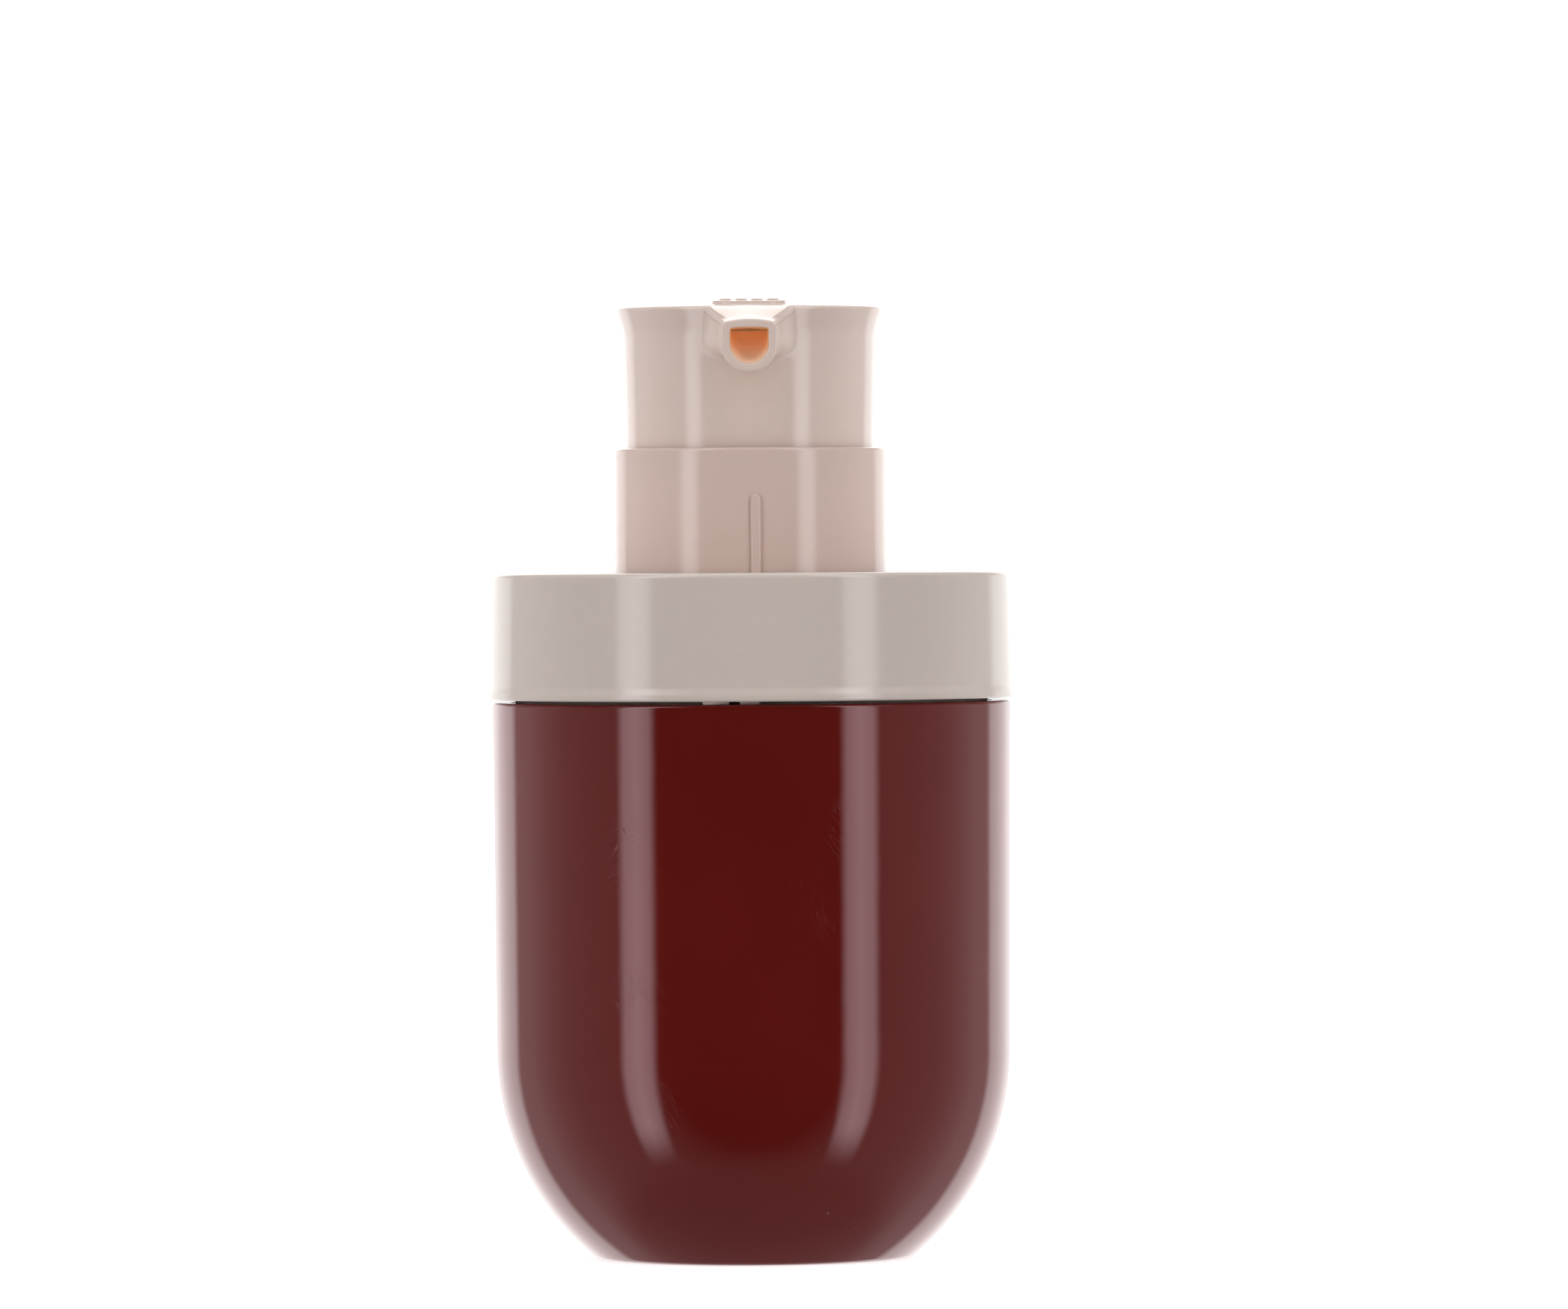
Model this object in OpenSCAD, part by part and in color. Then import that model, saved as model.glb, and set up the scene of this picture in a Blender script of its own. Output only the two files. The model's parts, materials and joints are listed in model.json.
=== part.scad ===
// Pump oil bottle: a domed double-wall bottle with a shoulder collar and a twist-lock pump.
// Millimetres, +Z up. The origin is the centre of the base and the nozzle points to -Y.
// The head unscrews as one: closure and guide sleeve turn, the pump engine rises with them.

/* [Body shell] */
// Outer diameter of the body at its rim
body_d = 59.3; // [55:0.1:66]
// Height of the body shell from the table to its rim
body_h = 63.8; // [58:0.1:80]
// Radius lost between the rim and the start of the dome
body_draft = 0.25; // [0:0.05:0.5]
// Height at which the wall turns into the domed bottom
dome_h = 24; // [18:0.5:27]
// Radius of the domed bottom
dome_r = 31; // [30:0.5:36]
// Edge radius round the foot
foot_edge = 2; // [0.5:0.1:3]
// Wall of the body shell
shell_wall = 2.2; // [1.6:0.1:2.6]
// Floor of the body shell
shell_floor = 2.6; // [1.8:0.1:4]
// Depth of the hollow under the base
base_hollow = 0.6; // [0.2:0.1:1]
// Width of the ring that the body stands on
foot_ring = 3; // [1.5:0.1:5]
// Edge radius at the rim of the body shell
rim_edge = 0.5; // [0.2:0.1:0.8]

/* [Inner bottle] */
// Wall of the inner bottle
bottle_wall = 1.1; // [0.7:0.1:1.6]
// Floor of the inner bottle
bottle_floor = 1.2; // [0.8:0.1:2]
// Depth of the flat shoulder below the body rim
shoulder_drop = 1.8; // [1.4:0.1:3]
// Edge radius between the bottle's wall and its shoulder
shoulder_edge = 5; // [4:0.1:7]
// Width of the two keys that stop the bottle from turning
key_w = 3; // [2:0.1:5]
// Height of the two keys
key_h = 0.9; // [0.5:0.1:1.1]

/* [Neck finish] */
// Depth of the neck thread
thread_depth = 1.2; // [0.9:0.1:1.4]
// Wall of the neck
neck_wall = 1.5; // [1:0.1:2]
// Rise of the thread in one turn
thread_pitch = 3.2; // [2.8:0.1:3.6]
// Turns of thread on the neck
thread_turns = 1.5; // [1:0.25:1.75]
// Width of a thread ridge at its root
ridge_root = 1.5; // [1.2:0.1:1.6]
// Width of a thread ridge at its crest
ridge_crest = 0.8; // [0.6:0.1:1]
// How far the support ring stands out from the neck
support_out = 1.8; // [1.2:0.1:2.2]
// Thickness of the support ring
support_t = 1.2; // [0.8:0.1:1.4]

/* [Shoulder collar] */
// Outer diameter of the collar
collar_d = 60.1; // [58:0.1:66]
// Height of the collar
collar_h = 14.3; // [12:0.1:18]
// Wall of the collar
collar_wall = 1.8; // [1.2:0.1:2.2]
// Thickness of the collar's top
collar_top = 1.6; // [1:0.1:2.4]
// Radius lost between the foot of the collar and its top
collar_draft = 0.25; // [0:0.05:0.5]
// How far the small lip at the collar's foot stands out
lip_out = 0.22; // [0.1:0.02:0.4]
// Height of that lip
lip_h = 0.9; // [0.4:0.1:2]
// Edge radius round the top of the collar
collar_edge = 0.6; // [0.3:0.1:1]
// Wall of the skirt that plugs into the body shell
plug_wall = 1.4; // [1:0.1:1.8]
// How deep that skirt reaches into the body shell
plug_depth = 3.3; // [2.8:0.1:3.6]
// Height of the shadow gap between collar and body
seam_gap = 0.5; // [0.3:0.05:0.8]
// Widths of the two spacer pips in the shadow gap, at the front
pip_w = [3, 2.2];
// Distances of the two pips from the middle of the front
pip_x = [-4, -0.2];

/* [Guide sleeve] */
// Outer diameter of the sleeve
sleeve_d = 31.2; // [31:0.1:33]
// Wall of the sleeve
sleeve_wall = 0.85; // [0.7:0.05:0.9]
// Height of the sleeve that shows above the collar
sleeve_show = 14.2; // [12:0.1:17]
// Edge radius at the top of the sleeve
sleeve_edge = 0.4; // [0.1:0.05:0.6]
// Width of the raised index rib at the front
rib_w = 1.06; // [0.6:0.02:2]
// Height of the index rib
rib_h = 8.9; // [6:0.1:11]
// How far the index rib stands out
rib_out = 0.35; // [0.2:0.05:0.6]
// Offset of the index rib from the middle of the front
rib_x = 0.6; // [-2:0.1:2]

/* [Screw closure] */
// Wall of the closure
closure_wall = 1.6; // [1.2:0.1:2]
// Depth of the grip ribs between closure and sleeve
grip_depth = 0.85; // [0.5:0.05:1.2]
// Thickness of the closure's top
closure_plate = 1.4; // [1:0.1:2]
// Length of the closure below its top
closure_skirt = 15.5; // [13:0.1:16]
// Number of grip ribs
grip_count = 24; // [12:1:36]
// Width of one grip rib
grip_w = 0.9; // [0.5:0.1:1.2]

/* [Pump engine] */
// Travel of the pump
stroke = 8; // [6:0.1:9]
// Bore of the pump barrel
barrel_bore = 9; // [8.6:0.1:9.4]
// Wall of the pump barrel
barrel_wall = 1.1; // [0.8:0.1:1.4]
// Outer diameter of the stem
stem_d = 5.4; // [5:0.1:5.6]
// Bore of the stem
stem_bore = 3; // [2.4:0.1:3.2]
// Height of the piston
piston_h = 4.6; // [4:0.1:6]
// Length of the spring at rest
spring_len = 16.2; // [15:0.1:20]
// Wire of the spring
wire_d = 0.7; // [0.5:0.05:0.8]
// Turns of the spring
spring_turns = 7.5; // [6:0.5:8]
// Thickness of the housing flange
flange_t = 1.5; // [1:0.1:2]
// Thickness of the neck gasket
gasket_t = 1.2; // [0.8:0.1:1.6]
// Height of the housing cup above its flange
cup_h = 2.9; // [2.8:0.1:3.2]
// Wall of the housing cup
cup_wall = 1.05; // [0.8:0.05:1.2]
// Diameter of the inlet ball
inlet_ball_d = 5; // [4.6:0.1:5.2]
// Diameter of the outlet ball
outlet_ball_d = 3.3; // [3.2:0.1:3.4]
// Lift of either ball off its seat
ball_lift = 0.8; // [0.5:0.1:1.2]
// Outer diameter of the dip tube
tube_d = 4.5; // [4:0.1:5]
// Wall of the dip tube
tube_wall = 0.75; // [0.5:0.05:1]
// Height of the dip tube's end above the floor of the inner bottle
tube_foot = 1.2; // [0.8:0.1:4]
// Length of the socket that holds the dip tube
socket_h = 7; // [5:0.1:9]

/* [Twist lock] */
// Height of the two lock lugs
lug_h = 3.6; // [2.8:0.1:4]
// Width of the two lock lugs
lug_w = 4; // [3:0.1:5]
// Height of the two stop blocks on the lock ring
stop_h = 1; // [0.8:0.1:1.2]
// Radius of the turret that carries the lock ring
turret_r = 7; // [6.6:0.1:7.2]
// Wall of the turret
turret_wall = 1.8; // [1.2:0.1:1.9]
// How far the lock ring stands out from the turret
ring_out = 1.6; // [1.2:0.1:1.8]

/* [Actuator] */
// Height of the actuator that shows above the sleeve
actuator_show = 16.1; // [16:0.1:20]
// Depth of the actuator's lower edge inside the sleeve
actuator_dip = 1; // [0.8:0.1:2]
// Widening of the actuator's radius from its lower edge to the flare
actuator_draft = 0.35; // [0:0.05:0.5]
// Height of the flare below the rim
flare_h = 4.2; // [3:0.1:6]
// How far the flare takes the rim out
flare_out = 0.85; // [0.5:0.05:1.2]
// Edge radius at the rim of the actuator
actuator_edge = 0.35; // [0.2:0.05:0.5]
// Rise of the crowned top above the rim
crown = 0.6; // [0.3:0.1:1]
// Wall of the actuator
actuator_wall = 1.2; // [0.9:0.1:1.4]
// Thickness of the actuator's top at its rim
actuator_top = 1.6; // [1.2:0.1:2]
// Width of the raised pad at the front of the top
pad_w = 8.4; // [7:0.1:12]
// Depth of that pad from front to back
pad_depth = 4.6; // [3:0.1:6]
// Height of the pad above the rim
pad_h = 0.7; // [0.6:0.05:1]
// Number of raised marks on the pad
mark_count = 4; // [2:1:4]
// Spacing of the marks
mark_pitch = 1.8; // [1.6:0.1:1.9]
// Width of one mark
mark_w = 1.3; // [0.8:0.1:1.4]
// Height of the marks above the pad
mark_h = 0.2; // [0.1:0.05:0.4]

/* [Spout] */
// Width of the nozzle face
spout_w = 6.4; // [5.8:0.1:7]
// Height of the nozzle face
spout_h = 6.1; // [5.6:0.1:6.4]
// Rise of the arched top of the nozzle face
spout_arch = 0.75; // [0.4:0.05:1]
// Wall of the nozzle at its face
spout_wall = 0.95; // [0.7:0.05:1.1]
// Reach of the nozzle face beyond the rim
spout_out = 5.1; // [4:0.1:9]
// How much wider the root of the spout is on each side
root_side = 1.75; // [1:0.05:2.5]
// How much higher the root of the spout is
root_rise = 1.1; // [0.6:0.05:1.4]
// Slope of the fluid way in degrees
spout_slope = 6; // [3:0.5:9]
// Wall of the nozzle insert
insert_wall = 0.45; // [0.3:0.05:0.6]
// Depth of the nozzle insert behind the face
insert_back = 0.7; // [0.3:0.1:1.5]

/* [Clearances] */
// Gap between the inner bottle and the body shell
bottle_gap = 0.4; // [0.3:0.05:0.6]
// Radial gap round a piece that is pushed in and stays
fit_gap = 0.05; // [0.02:0.01:0.08]
// Radial gap of a shaft that turns or slides in its hole
run_gap = 0.05; // [0.03:0.01:0.09]
// Gap between pieces that pass each other freely
free_gap = 0.3; // [0.25:0.01:0.35]
// Radial gap between the actuator and the guide sleeve
guide_gap = 0.45; // [0.3:0.05:0.6]
// Gap left under the actuator at the end of its travel
end_gap = 0.6; // [0.4:0.1:0.8]
// Gap left under the spout at the end of its travel
spout_gap = 0.7; // [0.4:0.1:1]

/* [Hidden] */
$fn = 96;
eps = 0.01;

// Radii and heights of the body
dome_top_r = body_d / 2 - body_draft;
dome_x = dome_top_r - dome_r;
foot_x = dome_x + sqrt(pow(dome_r - foot_edge, 2) - pow(dome_h - foot_edge, 2));
z_collar = body_h + seam_gap;
z_collar_top = z_collar + collar_h;
z_sleeve_top = z_collar_top + sleeve_show;
z_rim = z_sleeve_top + actuator_show;
z_ceiling = z_rim - actuator_top;
z_lower_edge = z_sleeve_top - actuator_dip;

// The pump hangs from the closure, and the closure sits just under the pressed actuator
z_closure_top = z_lower_edge - stroke - end_gap;
z_flange_top = z_closure_top - closure_plate;
z_flange = z_flange_top - flange_t;
z_neck_top = z_flange - gasket_t;
z_shoulder = body_h - shoulder_drop;
z_closure_foot = z_closure_top - closure_plate - closure_skirt;

// Collar, plug and inner shoulder
collar_r = collar_d / 2;
collar_hole_r = sleeve_d / 2 + free_gap;
plug_r = body_d / 2 - shell_wall - free_gap;
plug_in_r = plug_r - plug_wall;
z_plug = body_h - plug_depth;
bead_out = 0.25;
bead_h = 0.8;
pip_inset = 0.6;
z_bead = z_plug + bead_h;
shoulder_r = dome_top_r - shell_wall - bottle_gap;
carrier_r = collar_hole_r + free_gap;
carrier_wall = 1.4;
carrier_t = 1.2;
carrier_ribs = 8;
key_r = shoulder_r - shoulder_edge - 2;

// Neck and closure
sleeve_in_r = sleeve_d / 2 - sleeve_wall;
grip_r = sleeve_in_r - fit_gap;
closure_r = grip_r - grip_depth;
closure_in_r = closure_r - closure_wall;
crest_r = closure_in_r - free_gap;
neck_r = crest_r - thread_depth;
flange_r = crest_r - 0.6;
thread_lead = 2.2;
z_thread = z_neck_top - thread_lead - thread_turns * thread_pitch;
thread_steps = 30;
foot_lip = 0.9;

// Housing: flange, cup, barrel, ball chamber and tube socket
barrel_r = barrel_bore / 2;
barrel_out_r = barrel_r + barrel_wall;
cup_r = turret_r + 2;
cup_in_r = cup_r - cup_wall;
z_cup = z_flange_top + cup_h;
closure_hole_r = cup_r + run_gap;
snap_rise = 0.15;
snap_h = 0.6;
snap_out = 0.3;
nose_h = 3.2;
z_nose = z_flange_top - nose_h;
piston_top = z_nose - 0.1;
z_piston = piston_top - piston_h;
shoe_t = 1;
z_stem = z_piston - shoe_t;
z_spring = z_stem - spring_len;
cup_plate = 1.4;
z_ball_top = z_spring - cup_plate;
inlet_r = inlet_ball_d / 2;
inlet_seat_r = 1.5;
inlet_rise = sqrt(pow(inlet_r, 2) - pow(inlet_seat_r, 2));
chamber_r = inlet_r + 0.6;
z_inlet_seat = z_ball_top - ball_lift - inlet_r - inlet_rise;
z_tube_top = z_inlet_seat - 2.4;
z_socket = z_tube_top - socket_h;
socket_r = tube_d / 2 + barrel_wall;
z_tube = shell_floor + bottle_floor + tube_foot;

// Twist lock: the lugs travel from above the ring to below it
chaplet_lip = 0.8;
z_turret = z_cup + chaplet_lip;
z_lug_down = z_turret + free_gap;
z_ring = z_lug_down + lug_h + free_gap;
ring_h = stroke - lug_h - 2 * free_gap;
z_ring_top = z_ring + ring_h;
z_lug = z_lug_down + stroke;
ring_r = turret_r + ring_out;
lug_in_r = turret_r + free_gap;
lock_r = ring_r + free_gap;
lock_wall = 1.1;
lug_angle = asin(lug_w / 2 / lug_in_r);
stop_w = 2 * lug_in_r * sin(45 - lug_angle - 2);

// Stem, its seat and the ball in its top
stem_r = stem_d / 2;
wiper_r = stem_r + 1.4;
seat_t = 0.6;
outlet_r = outlet_ball_d / 2;
outlet_seat_r = 1.2;
outlet_rise = sqrt(pow(outlet_r, 2) - pow(outlet_seat_r, 2));
pocket_r = outlet_r + 0.25;

// Actuator and spout
actuator_r = sleeve_in_r - guide_gap;
flare_x = actuator_r + actuator_draft;
rim_r = flare_x + flare_out;
spout_reach = rim_r + spout_out;
flare_r = (pow(flare_h, 2) + pow(flare_out, 2)) / (2 * flare_out);
crown_r = (pow(rim_r, 2) + pow(crown, 2)) / (2 * crown);
actuator_in_r = actuator_r - actuator_wall;
z_spout = z_sleeve_top + stroke + spout_gap;
bore_w = spout_w - 2 * spout_wall;
bore_h = spout_h - spout_arch - 1.1 * spout_wall;
z_bore = z_spout + spout_wall + bore_w / 2;
way_rise = (spout_reach - actuator_in_r) * tan(spout_slope);
z_way = z_bore + way_rise;
way_r = bore_w / 2 - fit_gap;
way_bore_r = way_r - 0.9;
z_stem_top = z_way - way_r - 0.3;
z_outlet_seat = z_stem_top - ball_lift - outlet_r - outlet_rise - seat_t;
socket_wall = 1.5;
core_plate = 1.2;
core_r = actuator_in_r - fit_gap;
grip_bite = 5;
pad_y = 1.4 + pad_depth / 2 - rim_r;
root_y = -actuator_r + 0.8;
mid_y = -rim_r - 1.6;
mid_side = 0.25;
mid_rise = 0.7 * root_rise;
root_drop = 0.4 * root_side;

// ---- shared outlines ----

// Radius of the body wall at a height above the dome
function wall_r(z) = dome_top_r + body_draft * (z - dome_h) / (body_h - dome_h);

// Half outline of the domed body, drawn inset inside its outer face
module body_outline(inset, z_low, z_top) {
    polygon([[0, dome_h], [dome_top_r - inset, dome_h], [wall_r(z_top) - inset, z_top], [0, z_top]]);
    intersection() {
        translate([dome_x, dome_h]) circle(dome_r - inset, $fn = 180);
        translate([0, z_low]) square([dome_top_r, dome_h - z_low]);
    }
}

// Cutter that rounds an upper outer edge of an outline at [x, z]
module round_top(x, z, e) {
    translate([x - e, z - e]) difference() {
        square(e + 1);
        circle(e);
    }
}

// Ring of rectangular section
module ring(r_in, r_out, z, h) {
    rotate_extrude() translate([r_in, z]) square([r_out - r_in, h]);
}

// Radial bars that stand between two radii, repeated round the axis
module spokes(count, r_in, r_out, w, z, h) {
    for (i = [0 : count - 1])
        rotate(i * 360 / count) translate([r_in, -w / 2, z]) cube([r_out - r_in, w, h]);
}

// One thread ridge that climbs from z over some turns; root_r lies inside the wall that carries it
module thread_ridge(root_r, tip_r, z, turns, start) {
    steps = ceil(turns * thread_steps);
    out = tip_r > root_r ? 1 : -1;
    section = [[0, -ridge_root / 2], [1, -ridge_crest / 2], [1, ridge_crest / 2], [0, ridge_root / 2]];
    points = [for (i = [0 : steps], p = section)
        let (a = start + 360 * turns * i / steps,
             fade = min(1, 0.1 + i / 4, 0.1 + (steps - i) / 4),
             r = root_r + (tip_r - root_r) * p[0] * fade)
        [r * cos(a), r * sin(a), z + thread_pitch * turns * i / steps + p[1] * out]];
    sides = [for (i = [0 : steps - 1], k = [0 : 3], half = [0, 1])
        let (a = 4 * i + k, b = 4 * i + (k + 1) % 4)
        half == 0 ? [a, b, a + 4] : [b, b + 4, a + 4]];
    last = 4 * steps;
    caps = [[0, 2, 1], [0, 3, 2], [last, last + 1, last + 2], [last, last + 2, last + 3]];
    polyhedron(points, concat(sides, caps));
}

// Face of the spout, seen along it: round below, straight sides and an arched top
module spout_face(w, h, arch) {
    arch_r = (pow(w / 2, 2) + pow(arch, 2)) / (2 * arch);
    intersection() {
        union() {
            translate([0, w / 2]) circle(w / 2);
            translate([-w / 2, w / 2]) square([w, h - w / 2]);
        }
        translate([0, h - arch_r]) circle(arch_r, $fn = 180);
    }
}

// Opening of the spout: round below and flat above, centred on its round part
module bore_face(w, h) {
    circle(w / 2);
    translate([-w / 2, 0]) square([w, h - w / 2]);
}

// Slab of an outline that stands across the spout at y, its lower edge at z
module spout_slab(y, t) {
    translate([0, y + t, 0]) rotate([90, 0, 0]) linear_extrude(t) children();
}

// Bar along the sloping fluid way, from behind the face to the inside of the actuator
module along_way(from_y, to_y) {
    translate([0, -spout_reach, z_bore]) rotate([90 - spout_slope, 0, 0])
        translate([0, 0, -to_y]) linear_extrude(to_y - from_y) children();
}

// ---- bottle ----

module outer_shell() {
    color([0.29, 0.07, 0.06]) rotate_extrude() difference() {
        union() {
            intersection() {
                body_outline(0, foot_edge, body_h);
                square([body_d, body_h]);
            }
            translate([foot_x, foot_edge]) circle(foot_edge);
            square([foot_x, foot_edge + eps]);
        }
        body_outline(shell_wall, shell_floor, body_h + 1);
        translate([0, z_bead - free_gap])
            square([wall_r(body_h) - shell_wall + bead_out, bead_h + 2 * free_gap]);
        square([foot_x - foot_ring, base_hollow]);
        round_top(body_d / 2, body_h, rim_edge);
    }
}

module bottle_solid(inset, z_low) {
    top = z_shoulder - inset;
    edge = shoulder_edge - inset;
    difference() {
        body_outline(shell_wall + bottle_gap + inset, z_low, z_shoulder + 5);
        translate([0, top]) square([body_d, 10]);
        translate([shoulder_r - shoulder_edge, top - edge]) difference() {
            square(shoulder_edge + 5);
            circle(edge);
        }
    }
}

module inner_bottle() {
    color([0.86, 0.82, 0.76]) union() {
        rotate_extrude() difference() {
            union() {
                bottle_solid(0, shell_floor);
                translate([0, z_shoulder - bottle_wall]) square([neck_r, z_neck_top - z_shoulder + bottle_wall]);
                translate([0, z_closure_foot - free_gap - support_t]) square([neck_r + support_out, support_t]);
            }
            bottle_solid(bottle_wall, shell_floor + bottle_floor);
            translate([0, z_shoulder - 2 * bottle_wall]) square([neck_r - neck_wall, z_neck_top]);
        }
        thread_ridge(neck_r - 0.3, crest_r, z_thread, thread_turns, 0);
        for (side = [0, 180]) rotate(side)
            translate([key_r - 1, -key_w / 2, z_shoulder - eps]) cube([2, key_w, key_h + eps]);
    }
}

// Carrier between the bottle's flat shoulder and the top of the collar
module inner_shoulder() {
    color([0.8, 0.78, 0.74]) difference() {
        union() {
            ring(carrier_r, carrier_r + carrier_wall, z_shoulder, z_collar_top - collar_top - z_shoulder);
            ring(carrier_r, shoulder_r - shoulder_edge, z_shoulder, carrier_t);
            ring(carrier_r, plug_in_r - free_gap, z_collar_top - collar_top - carrier_t, carrier_t);
            spokes(carrier_ribs, carrier_r + carrier_wall - eps, shoulder_r - shoulder_edge - eps, carrier_t,
                   z_shoulder, z_collar_top - collar_top - z_shoulder - eps);
        }
        for (side = [0, 180]) rotate(side)
            translate([key_r - 1 - free_gap, -key_w / 2 - free_gap, z_shoulder - 1])
                cube([2 + 2 * free_gap, key_w + 2 * free_gap, key_h + 1 + free_gap]);
    }
}

module shoulder_collar() {
    color([0.72, 0.67, 0.64]) union() {
        rotate_extrude() difference() {
            union() {
                polygon([[collar_r - collar_wall, z_collar], [collar_r + lip_out, z_collar],
                         [collar_r + lip_out, z_collar + lip_h], [collar_r, z_collar + lip_h + lip_out],
                         [collar_r - collar_draft, z_collar_top], [collar_hole_r, z_collar_top],
                         [collar_hole_r, z_collar_top - collar_top],
                         [collar_r - collar_wall, z_collar_top - collar_top]]);
                translate([plug_in_r, z_plug]) square([plug_wall, z_collar_top - collar_top - z_plug + eps]);
                translate([plug_r - eps, z_bead]) square([bead_out + eps, bead_h]);
            }
            round_top(collar_r - collar_draft, z_collar_top, collar_edge);
        }
        for (i = [0 : len(pip_w) - 1])
            translate([pip_x[i] - pip_w[i] / 2, -collar_r + pip_inset, body_h])
                cube([pip_w[i], collar_wall - pip_inset - 0.2, seam_gap + eps]);
    }
}

// ---- screw head ----

module screw_closure() {
    color([0.82, 0.8, 0.77]) union() {
        ring(closure_in_r, closure_r, z_closure_foot, closure_skirt + eps);
        ring(closure_hole_r, closure_r, z_flange_top, closure_plate);
        spokes(grip_count, closure_r - 0.2, grip_r, grip_w, z_closure_foot + 1, closure_skirt - 1);
        thread_ridge(closure_in_r + 0.3, neck_r + free_gap, z_thread + thread_pitch * (thread_turns - 1.5),
                     1, 180 + 360 * (thread_turns - 1.5));
    }
}

module guide_sleeve() {
    color([0.74, 0.65, 0.61]) union() {
        rotate_extrude() difference() {
            union() {
                translate([sleeve_in_r, z_closure_foot - foot_lip])
                    square([sleeve_wall, z_sleeve_top - z_closure_foot + foot_lip]);
                translate([closure_r, z_closure_foot - foot_lip])
                    square([sleeve_in_r - closure_r + eps, foot_lip]);
            }
            round_top(sleeve_d / 2, z_sleeve_top, sleeve_edge);
        }
        translate([rib_x - rib_w / 2, -sleeve_d / 2 - rib_out, z_collar_top + 0.2])
            cube([rib_w, rib_out + 0.5, rib_h - 0.2 - rib_w / 2]);
        translate([rib_x, -sleeve_d / 2 + 0.5, z_collar_top + rib_h - rib_w / 2])
            rotate([90, 0, 0]) cylinder(h = rib_out + 0.5, d = rib_w);
    }
}

// ---- pump engine ----

module pump_housing() {
    color([0.9, 0.89, 0.86]) difference() {
        rotate_extrude() difference() {
            union() {
                translate([0, z_flange]) square([flange_r, flange_t]);
                translate([0, z_flange]) square([cup_r, z_cup - z_flange]);
                translate([cup_r - eps, z_closure_top + snap_rise]) square([snap_out, snap_h]);
                translate([0, z_ball_top]) square([barrel_out_r, z_flange - z_ball_top + eps]);
                polygon([[0, z_ball_top - barrel_wall], [chamber_r + barrel_wall, z_ball_top - barrel_wall],
                         [barrel_out_r, z_ball_top], [barrel_out_r, z_ball_top + eps], [0, z_ball_top + eps]]);
                translate([0, z_tube_top])
                    square([chamber_r + barrel_wall, z_ball_top - barrel_wall - z_tube_top + eps]);
                translate([0, z_socket]) square([socket_r, z_tube_top - z_socket + eps]);
            }
            translate([0, z_flange_top]) square([cup_in_r, cup_h + 1]);
            translate([0, z_ball_top]) square([barrel_r, z_cup - z_ball_top]);
            translate([0, z_inlet_seat]) square([chamber_r, z_cup - z_inlet_seat]);
            translate([0, z_socket - 1]) square([inlet_seat_r, z_cup - z_socket]);
            translate([0, z_socket - 1]) square([tube_d / 2 + fit_gap, z_tube_top - z_socket + 1]);
        }
        // Vent that lets air into the bottle while the pump is worked
        translate([0, 0, z_nose + 1]) rotate([90, 0, 0]) cylinder(h = barrel_out_r + 1, d = 0.8);
    }
}

module neck_gasket() {
    color([0.93, 0.93, 0.91]) ring(barrel_out_r + fit_gap, flange_r, z_neck_top, gasket_t);
}

// Turret that guides the stem, stops the piston and carries the slotted lock ring
module chaplet() {
    color([0.86, 0.84, 0.8]) difference() {
        union() {
            rotate_extrude() difference() {
                union() {
                    translate([0, z_nose]) square([barrel_r - run_gap, nose_h + eps]);
                    translate([0, z_flange_top]) square([cup_in_r - fit_gap, cup_h + eps]);
                    translate([0, z_cup]) square([cup_r, z_turret - z_cup]);
                    translate([0, z_turret - eps]) square([turret_r, z_ring_top + stop_h - z_turret]);
                    translate([0, z_ring]) square([ring_r, ring_h]);
                }
                translate([0, z_turret]) square([turret_r - turret_wall, z_rim]);
                translate([0, z_turret - seat_t]) square([wiper_r, z_rim]);
                translate([0, z_nose - 1]) square([stem_r + run_gap, z_rim]);
            }
            intersection() {
                ring(turret_r - eps, ring_r, z_ring_top - eps, stop_h);
                for (side = [135, 315]) rotate(side)
                    translate([0, -stop_w / 2, z_ring_top - eps]) cube([ring_r + 1, stop_w, stop_h]);
            }
        }
        difference() {
            for (side = [0, 180]) rotate(side)
                translate([0, -lug_w / 2 - free_gap, z_ring - 1])
                    cube([ring_r + 1, lug_w + 2 * free_gap, ring_h + 2]);
            translate([0, 0, z_ring - 2]) cylinder(h = ring_h + 4, r = turret_r);
        }
    }
}

module stem_wiper() {
    color([0.35, 0.34, 0.33]) ring(stem_r + run_gap, wiper_r - fit_gap, z_turret - seat_t, seat_t);
}

// Cage over the inlet ball that the spring stands on
module spring_cup() {
    color([0.88, 0.86, 0.82]) difference() {
        ring(1.1, barrel_r - fit_gap, z_ball_top, cup_plate);
        for (a = [0 : 90 : 270]) rotate(a)
            translate([0.9, -0.5, z_ball_top - 1]) cube([1.5, 1, cup_plate + 2]);
    }
}

module inlet_ball() {
    color([0.75, 0.76, 0.78]) translate([0, 0, z_inlet_seat + inlet_rise]) sphere(inlet_r);
}

// Tube whose lower end is cut at a slant so that it can't seal against the floor
module dip_tube() {
    color([0.88, 0.88, 0.85]) difference() {
        ring(tube_d / 2 - tube_wall, tube_d / 2, z_tube, z_tube_top - z_tube);
        translate([0, 0, z_tube]) rotate([0, -30, 0]) translate([-tube_d, -tube_d, -2 * tube_d])
            cube(2 * tube_d);
    }
}

// ---- plunger ----

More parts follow.
